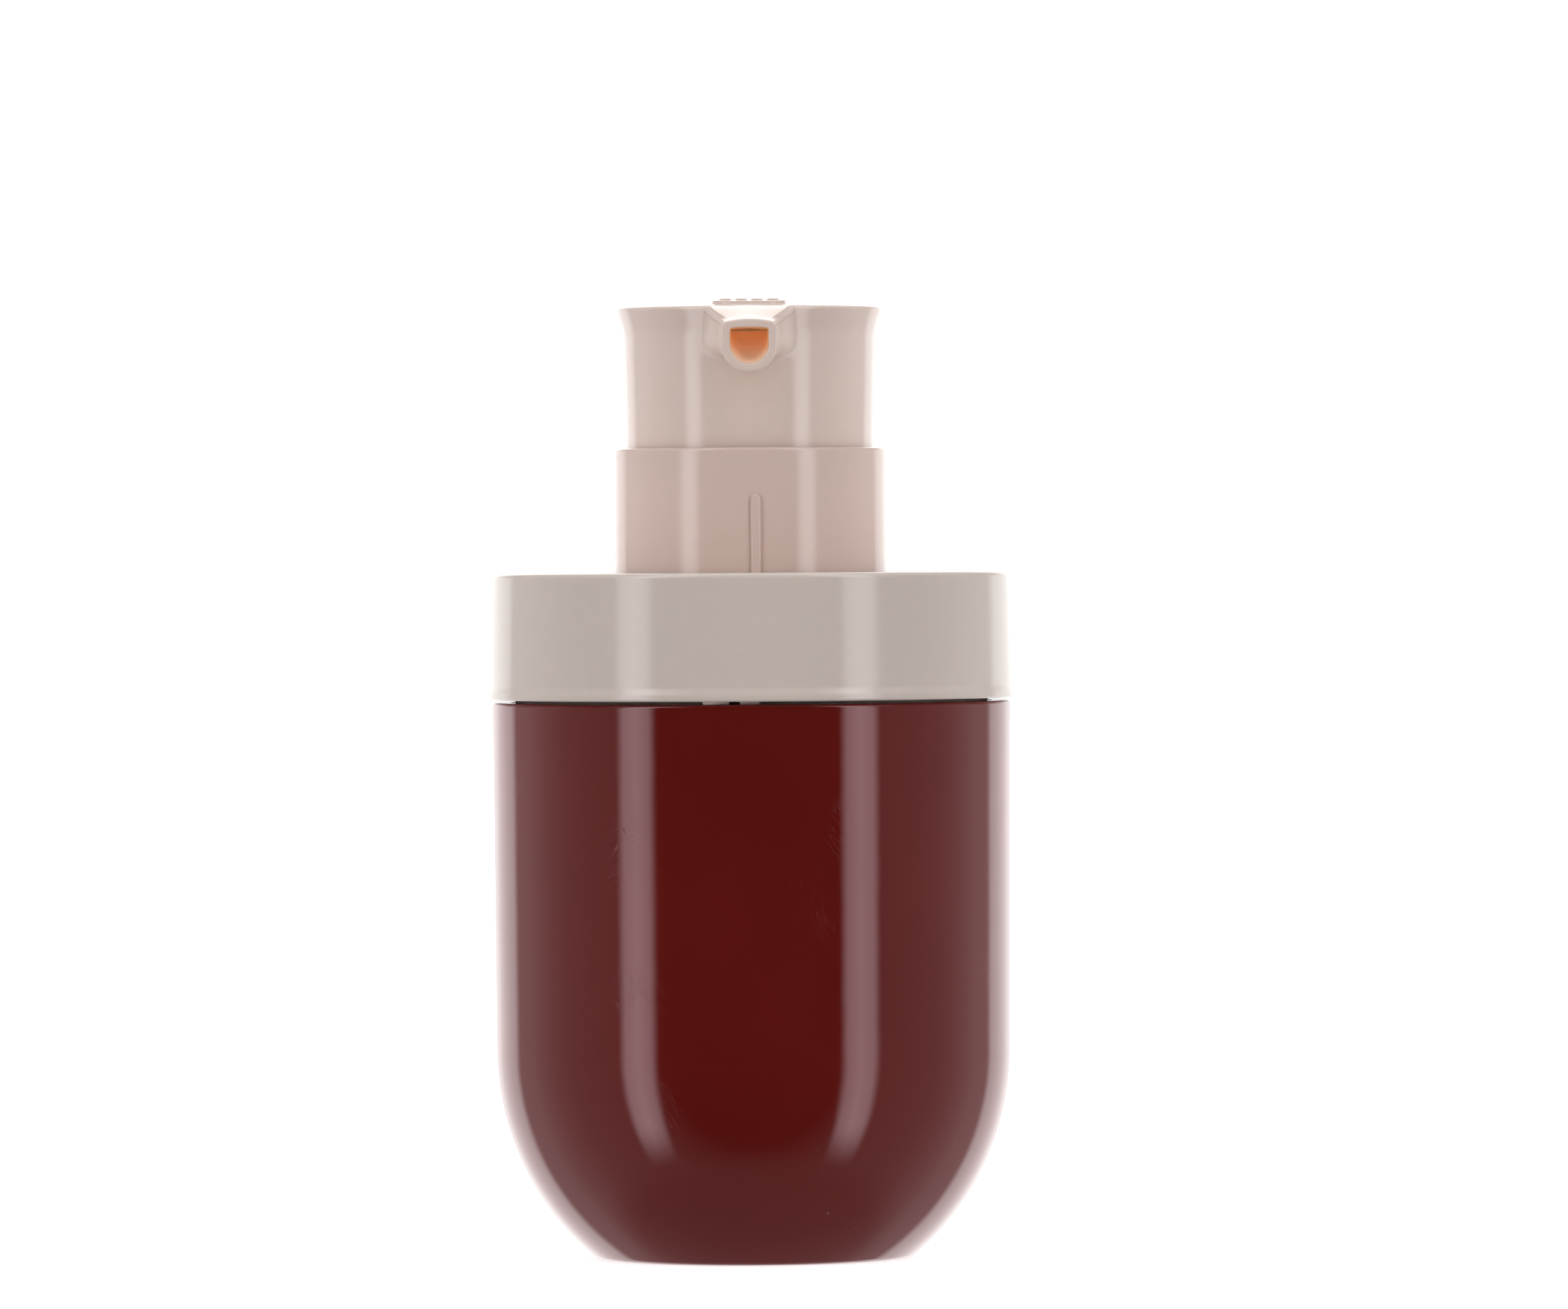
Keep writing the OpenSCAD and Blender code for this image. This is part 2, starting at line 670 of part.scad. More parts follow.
module piston() {
    lip = barrel_r - run_gap;
    color([0.55, 0.53, 0.5]) rotate_extrude() difference() {
        translate([0, z_piston]) polygon([[0, 0], [lip, 0], [lip, 0.9], [lip - 0.8, 1.6],
            [lip - 0.8, piston_h - 1.6], [lip, piston_h - 0.9], [lip, piston_h], [0, piston_h]]);
        translate([0, z_piston - 1]) square([stem_r + run_gap, piston_h + 2]);
        translate([0, z_piston + piston_h / 2 - 0.4]) square([stem_r + 0.3 + run_gap, 0.8]);
    }
}

// Helical spring, swept by functions: its ends close up on their seats
module return_spring() {
    sides = 6;
    per_turn = 16;
    coil_r = (barrel_r + stem_r) / 2 - 0.2;
    steps = spring_turns * per_turn;
    rise = spring_len - wire_d;
    function coil_z(t) = z_spring + wire_d / 2 + rise * (t < 0.1 ? 0.35 * t : t > 0.9 ? 1 - 0.35 * (1 - t)
        : 0.035 + 0.93 * (t - 0.1) / 0.8);
    points = [for (i = [0 : steps], k = [0 : sides - 1])
        let (t = i / steps, a = 360 * i / per_turn, b = 360 * k / sides, r = coil_r + wire_d / 2 * cos(b))
        [r * cos(a), r * sin(a), coil_z(t) + wire_d / 2 * sin(b)]];
    skin = [for (i = [0 : steps - 1], k = [0 : sides - 1], half = [0, 1])
        let (a = sides * i + k, b = sides * i + (k + 1) % sides)
        half == 0 ? [a, b, a + sides] : [b, b + sides, a + sides]];
    caps = [[for (k = [sides - 1 : -1 : 0]) k], [for (k = [0 : sides - 1]) sides * steps + k]];
    color([0.7, 0.71, 0.73]) polyhedron(points, concat(skin, caps));
}

// ---- actuator ----

module stem() {
    color([0.9, 0.88, 0.84]) rotate_extrude() difference() {
        union() {
            translate([0, z_stem]) square([stem_r, z_stem_top - z_stem]);
            translate([0, z_stem]) square([stem_r + 0.7, shoe_t]);
            translate([0, z_stem - 1]) square([stem_r - 0.5, 1 + eps]);
            translate([0, z_piston + piston_h / 2 - 0.3]) square([stem_r + 0.3, 0.6]);
        }
        translate([0, z_stem - 2]) square([stem_bore / 2, z_stem_top - z_stem + 3]);
        translate([0, z_outlet_seat]) square([pocket_r, z_rim]);
    }
}

module outlet_seat() {
    color([0.6, 0.58, 0.55])
        ring(outlet_seat_r, pocket_r - fit_gap, z_outlet_seat, seat_t);
}

module outlet_ball() {
    color([0.75, 0.76, 0.78])
        translate([0, 0, z_stem_top - ball_lift - outlet_r]) sphere(outlet_r);
}

// Core inside the actuator: stem socket, fluid way and the skirt with the two lock lugs
module actuator_core() {
    socket_out = stem_r + fit_gap + socket_wall;
    color([0.85, 0.5, 0.28]) difference() {
        union() {
            translate([0, 0, z_ceiling - core_plate]) cylinder(h = core_plate, r = core_r);
            translate([0, 0, z_stem_top - grip_bite])
                cylinder(h = z_ceiling - z_stem_top + grip_bite - eps, r = socket_out);
            ring(lock_r, lock_r + lock_wall, z_lug, z_ceiling - z_lug - eps);
            intersection() {
                ring(lug_in_r, lock_r + eps, z_lug, lug_h);
                translate([-lock_r, -lug_w / 2, z_lug]) cube([2 * lock_r, lug_w, lug_h]);
            }
            intersection() {
                translate([0, 0, z_way]) rotate([90, 0, 0]) cylinder(h = core_r - 0.6, r = way_r);
                translate([0, 0, z_way - way_r - 1]) cylinder(h = z_ceiling - z_way + way_r + 1, r = core_r);
            }
        }
        translate([0, 0, z_stem_top - grip_bite - 1]) cylinder(h = grip_bite + 1, r = stem_r + fit_gap);
        translate([0, 0, z_stem_top - 1]) cylinder(h = z_way - z_stem_top + 1, r = 1.1);
        translate([0, 0, z_way]) rotate([90, 0, 0]) cylinder(h = core_r + 1, r = way_bore_r);
    }
}

module actuator_outline() {
    difference() {
        union() {
            polygon([[0, z_lower_edge], [actuator_r, z_lower_edge], [flare_x, z_rim - flare_h],
                     [flare_x, z_rim], [0, z_rim]]);
            difference() {
                translate([flare_x - eps, z_rim - flare_h]) square([flare_out + eps, flare_h]);
                translate([flare_x + flare_r, z_rim - flare_h]) circle(flare_r, $fn = 180);
            }
            intersection() {
                translate([0, z_rim + crown - crown_r]) circle(crown_r, $fn = 360);
                translate([0, z_rim - eps]) square([rim_r, crown + 1]);
            }
        }
        round_top(rim_r, z_rim, actuator_edge);
    }
}

// Outline of the raised pad: straight in the middle, round at both ends
module pad_outline() {
    end_x = (pad_w - pad_depth) / 2;
    for (x = [-end_x, end_x]) translate([x, pad_y]) circle(pad_depth / 2);
    translate([-end_x, pad_y - pad_depth / 2]) square([2 * end_x, pad_depth]);
}

// Cross-section of the spout where it leaves the flare
module spout_middle() {
    spout_slab(mid_y, 0.2) translate([0, z_spout])
        spout_face(spout_w + 2 * mid_side, spout_h + mid_rise, spout_arch);
}

module actuator_shell() {
    color([0.77, 0.7, 0.67]) difference() {
        union() {
            rotate_extrude() actuator_outline();
            hull() {
                spout_slab(-spout_reach, 0.2) translate([0, z_spout]) spout_face(spout_w, spout_h, spout_arch);
                spout_middle();
            }
            hull() {
                spout_middle();
                spout_slab(root_y, 0.2) translate([0, z_spout - root_drop])
                    spout_face(spout_w + 2 * root_side, spout_h + root_rise + root_drop, spout_arch);
            }
            translate([0, 0, z_rim - eps]) linear_extrude(pad_h + eps) pad_outline();
            for (i = [0 : mark_count - 1])
                translate([(i - (mark_count - 1) / 2) * mark_pitch - mark_w / 2, pad_y - mark_w / 2, z_rim])
                    cube([mark_w, mark_w, pad_h + mark_h]);
        }
        translate([0, 0, z_lower_edge - 1]) cylinder(h = z_ceiling - z_lower_edge + 1, r = actuator_in_r);
        along_way(-1, spout_reach - actuator_in_r + 2) bore_face(bore_w, bore_h);
    }
}

module nozzle_insert() {
    color([0.85, 0.45, 0.22]) difference() {
        along_way(insert_back, spout_reach - actuator_in_r - 0.2)
            bore_face(bore_w - 2 * fit_gap, bore_h - 2 * fit_gap);
        along_way(insert_back - 1, spout_reach)
            bore_face(bore_w - 2 * fit_gap - 2 * insert_wall, bore_h - 2 * fit_gap - 2 * insert_wall);
    }
}

outer_shell();
inner_bottle();
inner_shoulder();
shoulder_collar();
screw_closure();
guide_sleeve();
pump_housing();
neck_gasket();
chaplet();
stem_wiper();
spring_cup();
inlet_ball();
dip_tube();
piston();
return_spring();
stem();
outlet_seat();
outlet_ball();
actuator_core();
actuator_shell();
nozzle_insert();
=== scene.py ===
"""Pump oil bottle: the looks of a domed, glossy red-brown bottle with a pale collar and a twist-lock pump."""

import json
import math

import bmesh
import bpy
import numpy as np
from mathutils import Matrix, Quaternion, Vector


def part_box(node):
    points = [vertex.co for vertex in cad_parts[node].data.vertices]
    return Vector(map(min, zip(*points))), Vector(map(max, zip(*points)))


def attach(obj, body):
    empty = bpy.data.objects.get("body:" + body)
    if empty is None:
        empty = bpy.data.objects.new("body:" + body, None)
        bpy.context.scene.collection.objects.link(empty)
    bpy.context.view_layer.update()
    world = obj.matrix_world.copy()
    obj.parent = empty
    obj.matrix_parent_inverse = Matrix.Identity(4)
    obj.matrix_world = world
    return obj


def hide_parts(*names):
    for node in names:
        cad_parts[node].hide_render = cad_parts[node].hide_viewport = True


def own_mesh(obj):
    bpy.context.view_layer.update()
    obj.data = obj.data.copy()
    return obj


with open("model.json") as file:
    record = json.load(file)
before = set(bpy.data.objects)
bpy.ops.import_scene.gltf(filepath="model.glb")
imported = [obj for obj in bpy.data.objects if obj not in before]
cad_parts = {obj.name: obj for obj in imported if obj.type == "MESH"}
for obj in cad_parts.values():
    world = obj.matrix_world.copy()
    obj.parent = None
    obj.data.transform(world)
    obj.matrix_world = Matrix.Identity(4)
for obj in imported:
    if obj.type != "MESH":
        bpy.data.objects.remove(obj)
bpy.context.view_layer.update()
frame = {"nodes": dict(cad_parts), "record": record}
nodes = frame["nodes"]
scene = bpy.context.scene
scene.view_settings.view_transform = "Standard"
mm = 0.001

# ---- Camera ----
# A long lens a good way off, level with the guide sleeve, so that upright lines stay parallel and
# the rings show almost edge on. It is tilted sideways by a third of a degree.
IMAGE_W = 2100
PIXELS_PER_RADIAN = 16700
EYE_AWAY, EYE_UP = 1430, 83
AIM_RIGHT_PX, AIM_DOWN_PX = 44, 162
ROLL = math.radians(-0.35)
pixel = EYE_AWAY * mm / PIXELS_PER_RADIAN
eye = Vector((0, -EYE_AWAY * mm, EYE_UP * mm))
aim = Vector((AIM_RIGHT_PX * pixel, 0, eye.z - AIM_DOWN_PX * pixel))

camera = bpy.data.objects.new("studio_camera", bpy.data.cameras.new("studio_camera"))
scene.collection.objects.link(camera)
camera.data.sensor_fit = "HORIZONTAL"
camera.data.sensor_width = 36
camera.data.lens = PIXELS_PER_RADIAN * camera.data.sensor_width / IMAGE_W
camera.data.clip_start = 0.1
camera.location = eye
level_camera = (aim - eye).to_track_quat("-Z", "Y")
camera.rotation_euler = (level_camera @ Quaternion((0, 0, 1), ROLL)).to_euler()
scene.camera = camera

# ---- Studio light ----
# A bright white backdrop, dimmer white sides, a dark front where the camera stands, and two tall
# strip lights ahead of the bottle, left and right, that reach below the table's edge.


class Value:
    """A socket of a node tree that works as a number: an operator on it adds a Math node."""

    def __init__(self, tree, socket):
        self.tree, self.socket = tree, socket

    def math(self, operation, *others):
        return node(self.tree, "ShaderNodeMath", {"operation": operation}, dict(enumerate((self, *others))))

    def __add__(self, other):
        return self.math("ADD", other)

    def __sub__(self, other):
        return self.math("SUBTRACT", other)

    def __rsub__(self, other):
        return node(self.tree, "ShaderNodeMath", {"operation": "SUBTRACT"}, {0: other, 1: self})

    def __mul__(self, other):
        return self.math("MULTIPLY", other)

    def __truediv__(self, other):
        return self.math("DIVIDE", other)

    def __gt__(self, other):
        return self.math("GREATER_THAN", other)

    def __abs__(self):
        return self.math("ABSOLUTE")

    __radd__ = __add__
    __rmul__ = __mul__


def node(tree, kind, settings=None, inputs=None, output=0):
    """Adds a node: its settings first, a ramp's stops among them, then its sockets' values or links."""
    new = tree.nodes.new(kind)
    for name, setting in (settings or {}).items():
        if name == "stops":
            elements = new.color_ramp.elements
            while len(elements) < len(setting):
                elements.new(0.5)
            for element, (place, grey) in zip(elements, setting):
                element.position = place
                element.color = (grey, grey, grey, 1)
        else:
            setattr(new, name, setting)
    for name, value in (inputs or {}).items():
        if isinstance(value, Value):
            tree.links.new(value.socket, new.inputs[name])
        else:
            new.inputs[name].default_value = value
    return Value(tree, new.outputs[output]) if new.outputs else None


def split(vector):
    """The three parts of a vector as numbers."""
    parts = node(vector.tree, "ShaderNodeSeparateXYZ", inputs={0: vector})
    return [Value(vector.tree, socket) for socket in parts.socket.node.outputs]


def ease(value, start, end):
    """0 before start, 1 after end, smooth between them."""
    return node(value.tree, "ShaderNodeMapRange", {"interpolation_type": "SMOOTHSTEP"},
                {"Value": value, "From Min": start, "From Max": end})


def round_the_room(away, *stops):
    """Radiance by an angle away from the camera's side, in degrees, the same to the left and to the right."""
    return node(sky, "ShaderNodeValToRGB", {"stops": [(angle / 180, grey) for angle, grey in stops]},
                {0: away / 180})


world = bpy.data.worlds.new("white_studio")
scene.world = world
world.use_nodes = True
sky = world.node_tree
sky.nodes.clear()
DEGREES = 180 / math.pi
east, north, up = split(node(sky, "ShaderNodeTexCoord", output="Generated"))
azimuth = node(sky, "ShaderNodeMath", {"operation": "ARCTAN2"}, {0: east, 1: 0 - north}) * DEGREES
elevation = up.math("ARCSINE") * DEGREES
swing = (0 - north).math("ARCCOSINE") * DEGREES

# The walls, the floor below the table's edge and the upper part of the room, each with its own levels.
walls = round_the_room(
    swing, (0, 0.04), (40, 0.05), (60, 0.44), (90, 0.55), (106, 0.7), (117, 0.8), (124, 0.72),
    (130, 0.65), (135, 1.85), (162, 1.8), (177, 1.0))
floor = round_the_room(
    swing, (0, 0.32), (90, 0.36), (108, 0.42), (124, 0.6), (130, 0.65), (135, 1.85), (177, 1.7))
upper = round_the_room(
    abs(azimuth), (0, 0.05), (29, 0.05), (43, 2.6), (60, 2.6), (78, 0.2), (145, 0.2), (162, 2.3))
OVERHEAD_RADIANCE, BACKDROP_RADIANCE, STRIP_RADIANCE = 1.5, 1.1, 3.25
# Behind the bottle the upper part comes down by so many degrees.
LOWER_BEHIND = 16
behind = ease(abs(azimuth), 105, 130)
below = ease(elevation, -40, -56)
above = ease(elevation + behind * LOWER_BEHIND, 20, 35)
overhead = ease(elevation, 58, 76)
tent = walls * (1 - below) + floor * below
tent = tent * (1 - above) + upper * above
tent = tent * (1 - overhead) + OVERHEAD_RADIANCE * overhead

# Each strip light: its azimuth, half its width and its foot, in degrees. Its edges are soft, and it
# dims by a third from its middle to its sides.
STRIPS = ((-53, 8.6, -42), (49.2, 8.7, -43))
STRIP_DIMMING = 0.35
for strip_azimuth, half_width, foot in STRIPS:
    off_centre = abs(azimuth - strip_azimuth)
    across_strip = 1 - ease(off_centre, half_width - 3, half_width + 2)
    dimming = 1 - off_centre * (STRIP_DIMMING / half_width)
    up_strip = ease(elevation, foot - 4, foot + 16) * (1 - ease(elevation, 24, 40))
    tent = tent + across_strip * dimming * up_strip * STRIP_RADIANCE
seen = node(sky, "ShaderNodeLightPath", output="Is Camera Ray")
light = node(sky, "ShaderNodeBackground", inputs={"Color": tent})
backdrop = node(sky, "ShaderNodeBackground", inputs={"Color": (1, 1, 1, 1), "Strength": BACKDROP_RADIANCE})
shown = node(sky, "ShaderNodeMixShader", inputs={0: seen, 1: light, 2: backdrop})
node(sky, "ShaderNodeOutputWorld", inputs={"Surface": shown})

# ---- Table ----
# A plain white table top that runs out of sight and glows a little, so that only the thinnest
# contact shadow is left under the foot. The bottle mirrors the studio, not the table.
TABLE_R, TABLE_SIDES, TABLE_DROP, TABLE_GLOW = 4000, 64, 0.02, 0.8
TABLE_WHITE = (0.85, 0.85, 0.85, 1)
table_rim = [(math.cos(a) * TABLE_R * mm, math.sin(a) * TABLE_R * mm, -TABLE_DROP * mm)
             for a in np.linspace(0, 2 * math.pi, TABLE_SIDES + 1)[:-1]]
table_mesh = bpy.data.meshes.new("table")
table_mesh.from_pydata(table_rim, [], [tuple(range(TABLE_SIDES))])
table = bpy.data.objects.new("table", table_mesh)
scene.collection.objects.link(table)
paper = bpy.data.materials.new("white_table")
paper.use_nodes = True
paper.node_tree.nodes.clear()
board = node(paper.node_tree, "ShaderNodeBsdfDiffuse", inputs={"Color": TABLE_WHITE})
lift = node(paper.node_tree, "ShaderNodeEmission", inputs={"Strength": TABLE_GLOW})
lit = node(paper.node_tree, "ShaderNodeAddShader", inputs={0: board, 1: lift})
node(paper.node_tree, "ShaderNodeOutputMaterial", inputs={"Surface": lit})
table_mesh.materials.append(paper)
table.visible_glossy = table.visible_diffuse = table.visible_transmission = table.visible_shadow = False

# ---- Moulded plastics ----
# Every plastic piece is injection or blow moulded. The tool leaves a fine grain and faint flow
# marks in the colour, and handling leaves fine dust and dull patches.


def open_material(name):
    """A new material with an empty tree, and its Object coordinates in millimetres."""
    material = bpy.data.materials.new(name)
    material.use_nodes = True
    tree = material.node_tree
    tree.nodes.clear()
    place = node(tree, "ShaderNodeTexCoord", output="Object")
    return material, tree, node(tree, "ShaderNodeMapping", inputs={"Vector": place, "Scale": (1 / mm,) * 3})


def noise(place, scale, detail=2.0, stretch=(1, 1, 1)):
    """Noise with a number of humps in each millimetre, drawn out along the axes with a small stretch."""
    if stretch != (1, 1, 1):
        place = node(place.tree, "ShaderNodeMapping", inputs={"Vector": place, "Scale": stretch})
    return node(place.tree, "ShaderNodeTexNoise", inputs={"Vector": place, "Scale": scale, "Detail": detail})


def specks(place, spacing, size, share):
    """Dots of about a size in mm, one in a share of the cells of a grid of that spacing."""
    cells = node(place.tree, "ShaderNodeTexVoronoi", inputs={"Vector": place, "Scale": 1 / spacing})
    near = 1 - ease(cells, 0.3 * size / spacing, size / spacing)
    pick = Value(place.tree, cells.socket.node.outputs["Color"])
    return near * (node(place.tree, "ShaderNodeSeparateColor", inputs={0: pick}) > 1 - share)


def blend_colour(fac, first, second):
    """Goes from the first colour, at 0, to the second, at 1."""
    colours = {6: first if isinstance(first, Value) else (*first, 1), 7: (*second, 1)}
    return node(fac.tree, "ShaderNodeMix", {"data_type": "RGBA"}, {0: fac, **colours}, output=2)


def bump(height, distance, strength=1.0, under=None):
    """Relief of a distance in millimetres, on top of the relief under it."""
    inputs = {"Height": height, "Distance": distance * mm, "Strength": strength}
    if under is not None:
        inputs["Normal"] = under
    return node(height.tree, "ShaderNodeBump", inputs=inputs)


def finish_material(material, tree, **sockets):
    """Closes a material with one Principled shader; the sockets' names have _ for a space."""
    inputs = {name.replace("_", " "): value for name, value in sockets.items()}
    shader = node(tree, "ShaderNodeBsdfPrincipled", inputs=inputs)
    node(tree, "ShaderNodeOutputMaterial", inputs={"Surface": shader})
    return material


def moulded(name, colour, roughness, grain=0.002, mottle=0.02, dust=0.04, glow=0.0):
    """Satin moulded plastic: faint flow marks, tool grain, a few dark specks and dull patches."""
    material, tree, place = open_material(name)
    darker = tuple(c * (1 - mottle) for c in colour)
    lighter = tuple(min(1, c * (1 + mottle * 0.6)) for c in colour)
    flow = noise(place, 0.06, detail=3, stretch=(1, 1, 0.35)) * 0.7 + noise(place, 0.6, detail=3) * 0.3
    base = blend_colour(ease(flow, 0.36, 0.64), darker, lighter)
    spots = specks(place, spacing=7.5, size=0.16, share=dust)
    base = blend_colour(spots * 0.55, base, tuple(c * 0.35 for c in colour))
    dull = ease(noise(place, 0.11, detail=4), 0.42, 0.72)
    fine = bump(noise(place, 5.5), grain, strength=0.5)
    wave = bump(noise(place, 0.16, detail=1, stretch=(1, 1, 0.5)), 0.006, under=fine)
    return finish_material(material, tree, Base_Color=base, Roughness=roughness + dull * 0.03, Normal=wave,
                           IOR=1.33, Specular_Tint=(2, 2, 2, 1), Subsurface_Weight=glow,
                           Subsurface_Scale=0.8 * mm, Subsurface_Radius=(1.0, 0.55, 0.4))


def dress(material, *names):
    """Gives CAD nodes a material."""
    for name in names:
        for slot in nodes[name].material_slots:
            slot.material = material


# ---- Inner bottle and inner shoulder ----
# The blow-moulded bottle that holds the oil, in milky natural plastic, and the moulded carrier on
# its shoulder that the collar snaps over. Both are hidden once the bottle is put together.
natural_bottle = moulded("natural_bottle", (0.72, 0.66, 0.56), 0.38, grain=0.004, mottle=0.09, glow=0.35)
dress(natural_bottle, "inner_bottle", "inner_shoulder", "dip_tube")

# ---- Outer shell ----
# The glossy red-brown shell of the double-wall bottle, injection moulded in one piece: foot ring,
# domed bottom, drafted wall, rounded rim and, inside, the groove that the collar's plug snaps into.


def quarter(steps):
    """Angles of a quarter turn, in radians."""
    return np.linspace(0, math.pi / 2, steps + 1)


def rounded(corners, steps=5):
    """A profile through corners (r, z, radius): each becomes an arc with a close point at both sides."""
    points = []
    last = len(corners) - 1
    for i, (x, z, radius) in enumerate(corners):
        here = Vector((x, z))
        if not radius or i in (0, last):
            points.append(here)
            continue
        back = (Vector(corners[i - 1][:2]) - here).normalized()
        ahead = (Vector(corners[i + 1][:2]) - here).normalized()
        half = back.angle(ahead) / 2
        reach = radius / math.tan(half)
        centre = here + (back + ahead).normalized() * radius / math.sin(half)
        start, end = here + back * reach, here + ahead * reach
        from_angle = math.atan2(*(start - centre).yx)
        turn = (math.atan2(*(end - centre).yx) - from_angle + math.pi) % (2 * math.pi) - math.pi
        close = min(0.25 * radius, 0.08)
        points.append(start + back * close)
        for k in range(steps + 1):
            angle = from_angle + turn * k / steps
            points.append(centre + Vector((math.cos(angle), math.sin(angle))) * radius)
        points.append(end + ahead * close)
    return points


def arc(centre_r, centre_z, radius, start, end, steps):
    """Points of an arc in a profile, angles in degrees from straight outwards."""
    return [Vector((centre_r + radius * math.cos(a), centre_z + radius * math.sin(a)))
            for a in np.radians(np.linspace(start, end, steps + 1))]


def lathe_tree():
    """Geometry Nodes that turn a profile, held as the points of a mesh, into a closed solid."""
    tree = bpy.data.node_groups.new("lathe", "GeometryNodeTree")
    face = tree.interface
    face.new_socket("Profile", in_out="INPUT", socket_type="NodeSocketGeometry")
    count = face.new_socket("Segments", in_out="INPUT", socket_type="NodeSocketInt")
    finish = face.new_socket("Finish", in_out="INPUT", socket_type="NodeSocketMaterial")
    face.new_socket("Solid", in_out="OUTPUT", socket_type="NodeSocketGeometry")
    given = tree.nodes.new("NodeGroupInput")
    profile, segments, material = (Value(tree, given.outputs[i]) for i in range(3))
    rows = node(tree, "GeometryNodeAttributeDomainSize", {"component": "MESH"}, {0: profile})
    columns = segments + 1
    grid = node(tree, "GeometryNodeMeshGrid", inputs={"Vertices X": rows, "Vertices Y": columns})
    index = node(tree, "GeometryNodeInputIndex")
    row = node(tree, "ShaderNodeMath", {"operation": "FLOOR"}, {0: (index + 0.5) / columns})
    turn = (index - row * columns) / segments * (2 * math.pi)
    own = node(tree, "GeometryNodeInputPosition")
    point = node(tree, "GeometryNodeSampleIndex", {"data_type": "FLOAT_VECTOR", "domain": "POINT"},
                 {"Geometry": profile, "Value": own, "Index": row})
    radius, _, height = split(point)
    place = node(tree, "ShaderNodeCombineXYZ",
                 inputs={0: radius * turn.math("COSINE"), 1: radius * turn.math("SINE"), 2: height})
    spun = node(tree, "GeometryNodeSetPosition", inputs={"Geometry": grid, "Position": place})
    welded = node(tree, "GeometryNodeMergeByDistance", inputs={"Geometry": spun, "Distance": 0.002 * mm})
    smooth = node(tree, "GeometryNodeSetShadeSmooth", inputs={"Geometry": welded})
    real = node(tree, "GeometryNodeRealizeInstances", inputs={"Geometry": smooth})
    given_out = tree.nodes.new("NodeGroupOutput")
    coated = node(tree, "GeometryNodeSetMaterial", inputs={"Geometry": real, "Material": material})
    tree.links.new(coated.socket, given_out.inputs[0])
    return tree, count.identifier, finish.identifier


LATHE, LATHE_SEGMENTS, LATHE_FINISH = lathe_tree()


def outward(mesh):
    """Turns all faces of a closed mesh outwards and shades it smooth."""
    work = bmesh.new()
    work.from_mesh(mesh)
    bmesh.ops.remove_doubles(work, verts=work.verts, dist=0.001 * mm)
    bmesh.ops.recalc_face_normals(work, faces=work.faces)
    for face in work.faces:
        face.smooth = True
    work.to_mesh(mesh)
    work.free()


def new_piece(name, points, faces, material):
    """A piece from its points, in metres, and its faces."""
    mesh = bpy.data.meshes.new(name)
    mesh.from_pydata([tuple(p) for p in points], [], faces)
    mesh.materials.append(material)
    outward(mesh)
    piece = bpy.data.objects.new(name, mesh)
    scene.collection.objects.link(piece)
    return piece


def plain(piece, name):
    """The evaluated piece as a plain mesh object, in place of the one with modifiers."""
    evaluated = piece.evaluated_get(bpy.context.evaluated_depsgraph_get())
    mesh = bpy.data.meshes.new_from_object(evaluated)
    bpy.data.objects.remove(piece)
    mesh.name = name
    outward(mesh)
    solid = bpy.data.objects.new(name, mesh)
    scene.collection.objects.link(solid)
    return solid


def turned(name, profile, material, segments=256):
    """A piece of revolution from its profile of (r, z) points in millimetres."""
    mesh = bpy.data.meshes.new(name + "_profile")
    mesh.from_pydata([(p[0] * mm, 0, p[1] * mm) for p in profile], [], [])
    blank = bpy.data.objects.new(name + "_profile", mesh)
    scene.collection.objects.link(blank)
    modifier = blank.modifiers.new("lathe", "NODES")
    modifier.node_group = LATHE
    modifier[LATHE_SEGMENTS] = segments
    modifier[LATHE_FINISH] = material
    return plain(blank, name)


def stand_for(piece, cad_node, body):
    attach(piece, body)
    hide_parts(cad_node)


def add_to(piece, body):
    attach(piece, body)


def corners_of(cad_node):
    """The lowest and the highest corner of a CAD node, in millimetres."""
    return [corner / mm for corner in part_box(cad_node)]


shell_high = corners_of("outer_shell")[1]
BODY_R, BODY_H = shell_high.x, shell_high.z
DRAFT = 0.25
WALL_R = BODY_R - DRAFT
WALL_T, FLOOR_T = 2.2, 2.6
DOME_R, DOME_H, FOOT_R = 31, 24, 2
dome_centre = WALL_R - DOME_R
foot_r = dome_centre + math.sqrt((DOME_R - FOOT_R) ** 2 - (DOME_H - FOOT_R) ** 2)
foot_angle = -math.degrees(math.atan2(DOME_H - FOOT_R, foot_r - dome_centre))
inner_low = -math.degrees(math.asin((DOME_H - FLOOR_T) / (DOME_R - WALL_T)))

# The hollow inside the foot ring, with the stub of the gate and the fine ring cut round it.
HOLLOW, FOOT_RING, HOLLOW_FLAT_R = 0.6, 3, 9
GATE_R, GATE_STUB = 1.25, 0.35
RING_R, RING_HALF_W, RING_DEPTH = 4.05, 0.15, 0.08
stub = HOLLOW - GATE_STUB
shell_profile = [Vector(p) for p in (
    (0, stub), (GATE_R - 0.35, stub), (GATE_R - 0.15, stub + 0.05), (GATE_R, HOLLOW),
    (RING_R - RING_HALF_W, HOLLOW), (RING_R, HOLLOW + RING_DEPTH), (RING_R + RING_HALF_W, HOLLOW),
    (HOLLOW_FLAT_R, HOLLOW))]
shell_profile += rounded([
    (HOLLOW_FLAT_R, HOLLOW, 0), (foot_r - FOOT_RING - 0.35, HOLLOW, 0.3), (foot_r - FOOT_RING, 0, 0.3),
    (foot_r - 1, 0, 0)])[1:]

